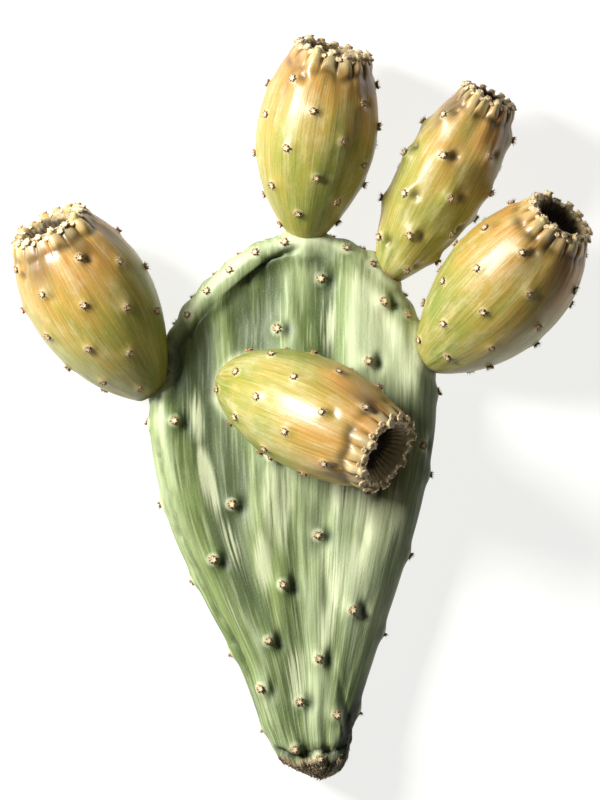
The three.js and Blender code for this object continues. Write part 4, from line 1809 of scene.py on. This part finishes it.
@dataclass(frozen=True)
class Fruit:
    """One fruit with its skin, its areoles and their bristles."""

    form: FruitForm
    tufts: Tufts
    swellings: Swellings = Swellings(halo=(3.0, 1.8))
    seed: int = 40
    columns: int = 256
    barrel_rings: int = 132
    crown_rings: int = 54
    foot_rings: int = 5
    foot_steps: int = 9
    foot_share: float = 0.12  # how much of the axis counts as the foot
    inside_foot: float = 0.2
    plain: Kind = Kind(0.7, 3.2, 0.15, 1.45)
    swollen: Kind = Kind(1.7, 4.6, 2.0, 1.45)
    deeper: float = 1.45  # how much deeper the hollows are near the crown
    deeper_share: Span = (0.68, 0.86)
    waves: Hills = Hills(51, (9.0, 9.0, 34.0), 0.5)
    swollen_waves: Hills = Hills(51, (9.0, 9.0, 34.0), 1.2)
    calm: Span = (0, 0.15)  # the shares of the axis where the waves start and are whole
    fold: float = 1.9  # how deep the broad folds under the crown are
    folds: Hills = Hills(61, 1 / 2.4)
    fold_lean: float = 0.5
    fold_rise: Span = (0.6, 1.05)
    fold_power: float = 1.3
    # painted shade in the folds
    fold_dark: Triple = (0.02, -0.3, 0.9)  # where the dark in them starts and is whole, and how dark
    flute: float = 1.1  # how deep the small flutes right under the beads are
    flute_mean: float = 0.75
    flute_start: float = 0.84
    bulge: float = 0.8
    bulge_mean: float = 0.5
    bead: float = 2.7
    bead_base: float = 0.8
    bead_mean: float = 0.45
    bead_power: float = 0.6
    bead_seed: int = 31
    bead_turn: float = 2.7
    bead_uneven: float = 0.4
    lip: tuple[Span, ...] = ((0, 0), (0.25, 0.55), (0.8, 0.95), (1.5, 1.0), (2.4, 0.75), (3.4, 0.3))
    lip_top: float = 1.6  # how far inside the rim the beads are highest
    navel: tuple[Span, ...] = ((0.76, -1.4), (0.64, -3.8), (0.5, -6.0), (0.3, -7.4), (0.1, -7.8))
    navel_floor: float = -7.8
    smoothing: tuple[int, ...] = (1, 2, 3, 2, 1)
    pleats: int = 32
    pleat_depth: float = 0.5
    pleat_start: Span = (2.6, 0.66)  # how far inside the rim, and the share of its radius where whole
    pleat_end: Span = (0.12, 0.4)
    lift_fade: float = 4.5  # how far inside the rim the barrel's relief ends
    # painted shade in the navel's pleats
    pleat_dark: Triple = (0.1, -0.6, 1.3)  # where the dark in the pleats starts and is whole, and how dark
    puff: float = 1.1  # how far the beads swell down the outside of the rim
    puff_mean: float = 0.35
    puff_length: Span = (6.5, 1.5)
    puff_pale: Triple = (0.45, 0.85, 0.9)
    # painted shade in the gaps between the beads
    gap_dark: Span = (0.5, 0.15)
    foot_cork: Span = (0.035, 0.9)  # the share of the axis where it ends, and how corky the foot is
    blush: Triple = (0.15, 0.6, 0.35)  # everywhere, more at the crown, and the share where that starts
    crown_blush: float = 0.6
    crown_cork: Row = (0.1, 0.25, 2, 5)  # everywhere, more inside the lip, from and to
    crown_pale: Triple = (0.3, 0.7, 0.8)
    crown_pale_radii: Span = (0.5, 0.75)
    notch_inset: float = 3  # further inside the rim than this the notches are as pale as the beads
    # the navel's dark, partly painted shade, ragged and heavier towards one turn
    pit_rag: Hills = Hills(71, 2.5, 0.12)
    pit_shift: float = 0.16
    pit_edge: Span = (0.76, 0.54)
    pit_dark: float = 0.92
    knob_rings: tuple[Row, ...] = (  # inset, rise, off, tilt and size
        (0.1, 1.4, 0.0, 0.6, 1.75), (-0.3, -0.5, 0.5, 1.0, 1.3), (2.6, 0.5, 0.5, -0.2, 1.2),
    )
    knob_wear: float = 0.45
    knob_rim: float = 16  # on a rim narrower than this they are smaller
    waist: float = 0.9  # how deep the groove under the beads is
    waist_drop: float = 7.5  # how far under the rim
    waist_reach: float = 2.0
    waist_wander: Hills = Hills(62, 1 / 3, 1.5, 1)
    waist_mean: float = 0.8
    waist_rag: Hills = Hills(63, 1 / 4, 0.9, 1)

    def beyond_foot(self, points: Array) -> Array:
        """Measures from a few discs across the axis near the seat.

        Args:
            points: Any points.

        Returns:
            How far they lie outside the foot, and a little below nothing inside it.
        """
        shares = np.linspace(0, self.foot_share, self.foot_steps)
        centre, along, _, _ = self.form.frames(shares)
        gap = np.full(points.shape[:-1], np.inf)
        for middle, way, radius in zip(centre, along, self.form.radius_at(shares)):
            arm = points - middle
            lengthways = arm @ way
            across = np.sqrt(np.maximum((arm**2).sum(axis=-1) - lengthways**2, 0))
            outside = np.hypot(np.maximum(across - radius, 0), lengthways)
            gap = np.minimum(gap, outside - np.maximum(radius - across, 0) * self.inside_foot)
        return gap

    def lobe_at(self, turn: Array) -> Array:
        """How full the rim's beads are: the size of the cosine of half the lobes' turns, to a low power."""
        size = np.abs(np.cos(self.form.lobes / 2 * turn)) ** self.bead_power
        circle = stacked(np.cos(turn) * self.bead_turn, np.sin(turn) * self.bead_turn, self.form.turn)
        return size * (1 + self.bead_uneven * Noise(self.bead_seed + self.form.areoles).at(circle))

    def folds_at(self, share: Array, turn: Array) -> Array:
        """The broad uneven folds, between -1 and 1, which deepen towards the crown."""
        circle = stacked(np.cos(turn), np.sin(turn), self.fold_lean * share + self.form.turn)
        return smooth_step(*self.fold_rise, share) ** self.fold_power * self.folds.at(circle)

    def waist_at(self, share: Array, turn: Array) -> Array:
        """The uneven groove under the beads, 1 where it is deepest."""
        circle = stacked(np.cos(turn), np.sin(turn), self.form.turn)
        drop = (1 - share) * self.form.length - self.waist_drop - self.waist_wander.at(circle)
        return bump_at(drop, self.waist_reach) * np.clip(self.waist_mean + self.waist_rag.at(circle), 0, 1)

    def lip_at(self, share: Array) -> Array:
        """How near the outside of the barrel is to the rim: 1 there and 0 below the beads."""
        start, whole = (1 - drop / self.form.length for drop in self.puff_length)
        return smooth_step(start, whole, share)

    def grain_at(self, share: Array, turn: Array) -> Array:
        """Coordinates round the fruit and along it, in millimetres, and different on each fruit."""
        around, along, shift = self.form.radius, self.form.length, GRAIN_SHIFT * self.form.turn
        return stacked(around * np.cos(turn) + shift, around * np.sin(turn), share * along + shift)

    def relief(self, points: Array, share: Array, turn: Array, areoles: Areoles) -> Array:
        """Adds up lengthways waves, folds, flutes, beads, the groove under them and the swellings.

        Args:
            points: Points of the plain barrel.
            share, turn: Where on the barrel they lie.
            areoles: The fruit's areoles.

        Returns:
            How far the skin stands off the barrel.
        """
        waves = (self.swollen_waves if self.form.swollen else self.waves).at(self.grain_at(share, turn))
        beads = self.lobe_at(turn)
        flutes = smooth_step(self.flute_start, 1, share) * (beads - self.flute_mean)
        puffs = self.lip_at(share) * (beads - self.puff_mean)
        total = waves * smooth_step(*self.calm, share) + self.fold * self.folds_at(share, turn)
        total += self.flute * flutes + self.puff * puffs - self.waist * self.waist_at(share, turn)
        return total + self.swellings.lift_at(points, areoles)

    def stands(self, pad: PadForm) -> tuple[Areoles, Array, Array]:
        """Sets out the areoles of the barrel.

        Args:
            pad: The form of the pad, which hides the lowest of them.

        Returns:
            The areoles that stand clear of the pad, and their shares and turns.
        """
        form = self.form
        share, turn, spots, normals = form.areole_places()
        areoles = Areoles.alike(spots, normals, self.swollen if form.swollen else self.plain)
        if not form.swollen:
            areoles.hollow = areoles.hollow + self.deeper * smooth_step(*self.deeper_share, share)
        keep = pad.clearance(spots) >= form.pad_clearance
        return areoles.kept(keep), share[keep], turn[keep]

    def knobs(self) -> list[Areoles]:
        """Sets out the felted knobs of the rim: one on each bead, smaller ones in and inside each notch.

        Returns:
            The knobs, ring by ring.
        """
        form, rim = self.form, self.form.rim_radius
        centre, along, sideways, upward = form.frames(1.0)
        groups = []
        for inset, rise, off, tilt, size in self.knob_rings:
            turn = (np.arange(form.lobes) + off) / form.lobes * FULL_TURN
            out = turned(turn, sideways, upward)
            over = rise + (self.bead * (self.lobe_at(turn) - 1) if off == 0 else 0 * turn)
            points = centre + (rim - inset) * out + over[:, None] * along
            knob = Kind(0, 1, 0, size * min(1, rim / self.knob_rim), self.knob_wear)
            groups.append(Areoles.alike(points, unit(along + tilt * out), knob))
        return groups

    def crown_line(self) -> tuple[Array, Array, Array]:
        """Draws the line from the rim over the lip into the navel, with even steps and rounded corners.

        Returns:
            The radii, the rises and how much the beads show at each point of the line.
        """
        rim = self.form.rim_radius
        lip, navel = np.array(self.lip), np.array(self.navel)
        radii = np.concatenate([rim - lip[:, 0], rim * navel[:, 0]])
        rises = np.concatenate([0 * lip[:, 1], navel[:, 1]])
        beads = np.concatenate([lip[:, 1], 0 * navel[:, 1]])
        steps = np.hypot(np.diff(radii), np.diff(rises + self.bead * beads))
        place = np.concatenate([[0], np.cumsum(steps)])
        even = np.linspace(0, place[-1], self.crown_rings + 1)[1:]
        lines = [np.interp(even, place, values) for values in (radii, rises, beads)]
        kernel, beyond = np.array(self.smoothing) / sum(self.smoothing), len(self.smoothing) // 2
        return tuple(np.convolve(np.pad(line, beyond, mode="edge"), kernel, mode="valid") for line in lines)

    def crown_rings_at(self, turn: Array, rim_lift: Array) -> tuple[Array, dict[str, Array]]:
        """Lays rings over the lip and down into the pleated navel.

        Args:
            turn: The turn of each column.
            rim_lift: How far the skin stands off the barrel at the rim.

        Returns:
            The rings, and their values for the material.
        """
        form, rim = self.form, self.form.rim_radius
        radii, rises, beads = (line[:, None] for line in self.crown_line())
        centre, along, sideways, upward = form.frames(1.0)
        lobes, pleats = self.lobe_at(turn), np.cos(self.pleats * turn)
        inset, whole = self.pleat_start
        inside = smooth_step(rim - inset, rim * whole, radii) * smooth_step(*self.pleat_end, radii / rim)
        bulge = self.bulge * (lobes - self.bulge_mean) * beads * np.sign(radii - rim + self.lip_top)
        radius = radii + rim_lift * smooth_step(rim - self.lift_fade, rim, radii) + bulge
        rise = rises + beads * (self.bead_base + self.bead * (lobes - self.bead_mean))
        rise = rise + self.pleat_depth * pleats * inside
        out = turned(turn, sideways, upward)
        points = centre + radius[..., None] * out + rise[..., None] * along
        # the navel's painted shade leans towards one turn
        ragged = self.pit_rag.at(points) - self.pit_shift * np.cos(turn - form.pit_turn)
        # painted shade in the pleats' grooves
        start, whole, dark = self.pleat_dark
        pleat_shade = dark * inside * smooth_step(start, whole, pleats)
        even, more, inset, end = self.crown_cork
        low, high, pale = self.crown_pale
        beside = smooth_step(low, high, lobes + (rim - radii > self.notch_inset))
        return points, {
            "grain": self.grain_at(1 + (rim - radii) / form.length, turn[None]),
            "hollow": np.clip(pleat_shade, 0, dark),
            "cork": even + more * smooth_step(inset, end, rim - radii) + 0 * lobes,
            "halo": pale * smooth_step(*self.crown_pale_radii, radii / rim) * beside,
            "pit": self.pit_dark * smooth_step(*self.pit_edge, radii / rim + ragged),
            "blush": np.full(radius.shape, self.crown_blush),
        }

    def barrel_values(self, barrel: Array, share: Array, turn: Array, areoles: Areoles) -> dict[str, Array]:
        """Works out what the material reads on the barrel.

        Args:
            barrel: The points of the plain barrel.
            share, turn: Where on the barrel they lie.
            areoles: The fruit's areoles.

        Returns:
            The values by their names.
        """
        halo, hollow = self.swellings.marks_at(barrel, areoles)
        lip, beads = self.lip_at(share), self.lobe_at(turn)
        low, high, pale = self.puff_pale
        # painted shade in the folds and in the gaps between the beads
        start, whole, dark = self.fold_dark
        folds = dark * smooth_step(start, whole, self.folds_at(share, turn))
        gaps = lip * smooth_step(*self.gap_dark, beads)
        cork_end, corky = self.foot_cork
        least, more, blush_start = self.blush
        return {
            "grain": self.grain_at(share, turn),
            # painted shade in the areoles' hollows, the bead gaps, the waist groove and the folds
            "hollow": np.maximum.reduce([hollow, gaps, self.waist_at(share, turn), folds]),
            "cork": corky * smooth_step(cork_end, 0.0, share) + 0 * turn,
            "halo": np.maximum(halo, pale * lip * smooth_step(low, high, beads)),
            "pit": 0 * (share + turn),
            "blush": least + more * smooth_step(blush_start, 1.0, share) + 0 * turn,
        }

    def skin(self, areoles: Areoles) -> Skin:
        """Lays rings of points over the foot, up the barrel and into the navel.

        Args:
            areoles: The areoles of the barrel.

        Returns:
            The skin with its values.
        """
        form = self.form
        turn = np.arange(self.columns) / self.columns * FULL_TURN
        share = ((1 - np.cos(np.linspace(0, np.pi, self.barrel_rings))) / 2)[:, None]
        centre, _, sideways, upward = form.frames(share)
        out = turned(turn, sideways, upward)
        barrel = centre + form.radius_at(share)[..., None] * out
        lift = self.relief(barrel, share, turn, areoles)
        crown, crown_values = self.crown_rings_at(turn, lift[-1])
        seat, way = form.frames(0.0)[:2]
        foot_share = np.arange(1, self.foot_rings + 1)[:, None, None] / (self.foot_rings + 1)
        foot = seat + (barrel[0] - seat) * foot_share - form.seat_dome * (1 - foot_share) * way
        rings = np.concatenate([foot, barrel + lift[..., None] * out, crown])
        top, top_way = form.frames(1.0)[:2]
        poles = (seat - form.seat_dome * way, top + self.navel_floor * top_way)
        skin = Skin(f"{form.name}_skin", rings, *poles)
        for name, value in self.barrel_values(barrel, share, turn, areoles).items():
            first = value[:1] if name == "grain" else 0 * value[:1]
            foot_value = np.repeat(first, self.foot_rings, axis=0)
            skin.values[name] = np.concatenate([foot_value, value, crown_values[name]])
        return skin

    def build(self, pad: PadForm, materials: Materials) -> None:
        """Makes the fruit's pieces.

        Args:
            pad: The form of the pad that it grows on.
            materials: What the pieces are made of.
        """
        form = self.form
        areoles, share, turn = self.stands(pad)
        finish_piece(self.skin(areoles).build(), materials.fruit, form.name)
        rise = self.relief(areoles.points, share, turn, areoles)
        tufted = Areoles.joined([areoles.raised(rise), *self.knobs()])
        seed = self.seed + 2 * form.areoles + int(10 * form.turn)
        self.tufts.build(form.name, tufted, seed, materials)


FRUITS = (
    FruitForm(
        "fruit_top", (-2.7, 54.5, 21.5), (9.5, 139, 36), (-2.1, 0.3, 0),
        27.2, 0.58, 0.2, 0.62, 32, 0.4,
    ),
    FruitForm(
        "fruit_left", (-72, -13.5, 18.6), (-118, 60.5, 41.5), (-1.2, -0.8, 0),
        28.3, 0.6, 0.26, 0.6, 32, 1.3,
    ),
    FruitForm(
        "fruit_upper_right", (34.2, 39.2, 18.5), (79.5, 118.5, 33), (0.4, -0.3, 0),
        21, 0.58, 0.3, 0.6, 26, 2.1, swollen=True,
    ),
    FruitForm(
        "fruit_lower_right", (52.5, 0.8, 18), (111, 63.5, 57), (1.7, -1.7, 0),
        28.4, 0.58, 0.27, 0.54, 32, 0.9,
    ),
    FruitForm(
        "fruit_front", (-37, -9.5, 28), (32.5, -41, 80), (-3.2, 3.7, 0.5),
        26, 0.6, 0.36, 0.69, 32, 1.9, pit_turn=1.6,
    ),
)


# ---------------- the studio


@dataclass(frozen=True)
class Softbox:
    """A square soft light."""

    name: str
    place: Triple
    size: float
    power: float
    tint: Triple = (1.0, 1.0, 1.0)
    aim: Triple = (0.0, -0.04, 0.03)

    def build(self) -> None:
        """Makes the light, turned towards its aim."""
        light = bpy.data.lights.new(self.name, "AREA")
        light.size, light.energy, light.color = self.size, self.power, self.tint
        lamp = bpy.data.objects.new(self.name, light)
        lamp.location = self.place
        lamp.rotation_euler = (Vector(self.aim) - Vector(self.place)).to_track_quat("-Z", "Y").to_euler()
        bpy.context.scene.collection.objects.link(lamp)


@dataclass(frozen=True)
class Studio:
    """The pale floor, the soft lights and the camera that looks straight down."""

    middle: Span = (-0.0054, -0.01755)
    focus_height: float = 0.028
    camera_height: float = 5.0
    view_height: float = 0.36
    sensor: float = 36.0
    floor_size: float = 12.0
    floor_drop: float = 0.02  # how far under the flat spot the floor is, in millimetres
    sky: Colour = (0.97, 0.98, 1.0, 1.0)
    sky_strength: float = 0.06
    lights: tuple[Softbox, ...] = (
        Softbox("key_light", (-0.82, 0.38, 0.68), 0.36, 30.0, (1.0, 0.985, 0.96)),
        Softbox("top_light", (-0.3, 0.05, 1.5), 0.6, 0.6, (0.96, 0.98, 1.0)),
    )

    def camera(self) -> None:
        """Makes the camera, which takes in the view height at the height of the focus."""
        camera = bpy.data.cameras.new("camera")
        camera.sensor_width = self.sensor
        camera.lens = self.sensor * self.camera_height / self.view_height
        camera.clip_end = 4 * self.camera_height
        eye = bpy.data.objects.new("camera", camera)
        eye.location = (*self.middle, self.focus_height + self.camera_height)
        bpy.context.scene.collection.objects.link(eye)
        bpy.context.scene.camera = eye

    def floor(self) -> None:
        """Makes the floor, a large square."""
        half = self.floor_size / 2 / MM
        corners = [(x * half, y * half, -self.floor_drop) for x, y in ((-1, -1), (1, -1), (1, 1), (-1, 1))]
        floor = mesh_object("floor", np.array(corners), [[0, 1, 2, 3]])
        floor.data.materials.append(FloorFinish().material())

    def build(self) -> None:
        """Makes the whole studio."""
        self.camera()
        self.floor()
        for light in self.lights:
            light.build()
        world = bpy.data.worlds.new("studio")
        world.use_nodes = True
        background = world.node_tree.nodes["Background"]
        background.inputs["Color"].default_value = self.sky
        background.inputs["Strength"].default_value = self.sky_strength
        bpy.context.scene.world = world
        bpy.context.scene.view_settings.view_transform = "Standard"


def main() -> None:
    """Builds the studio, the fruits and the pad."""
    logging.basicConfig(level=logging.INFO, format="%(name)s %(message)s")
    Studio().build()
    materials, form, tufts = Materials.made(), PadForm(), Tufts()
    fruits = [Fruit(shape, tufts) for shape in FRUITS]
    for fruit in fruits:
        fruit.build(form, materials)
    Pad(form, PadAreoles(form), tufts).build(fruits, materials)


if __name__ == "__main__":
    main()
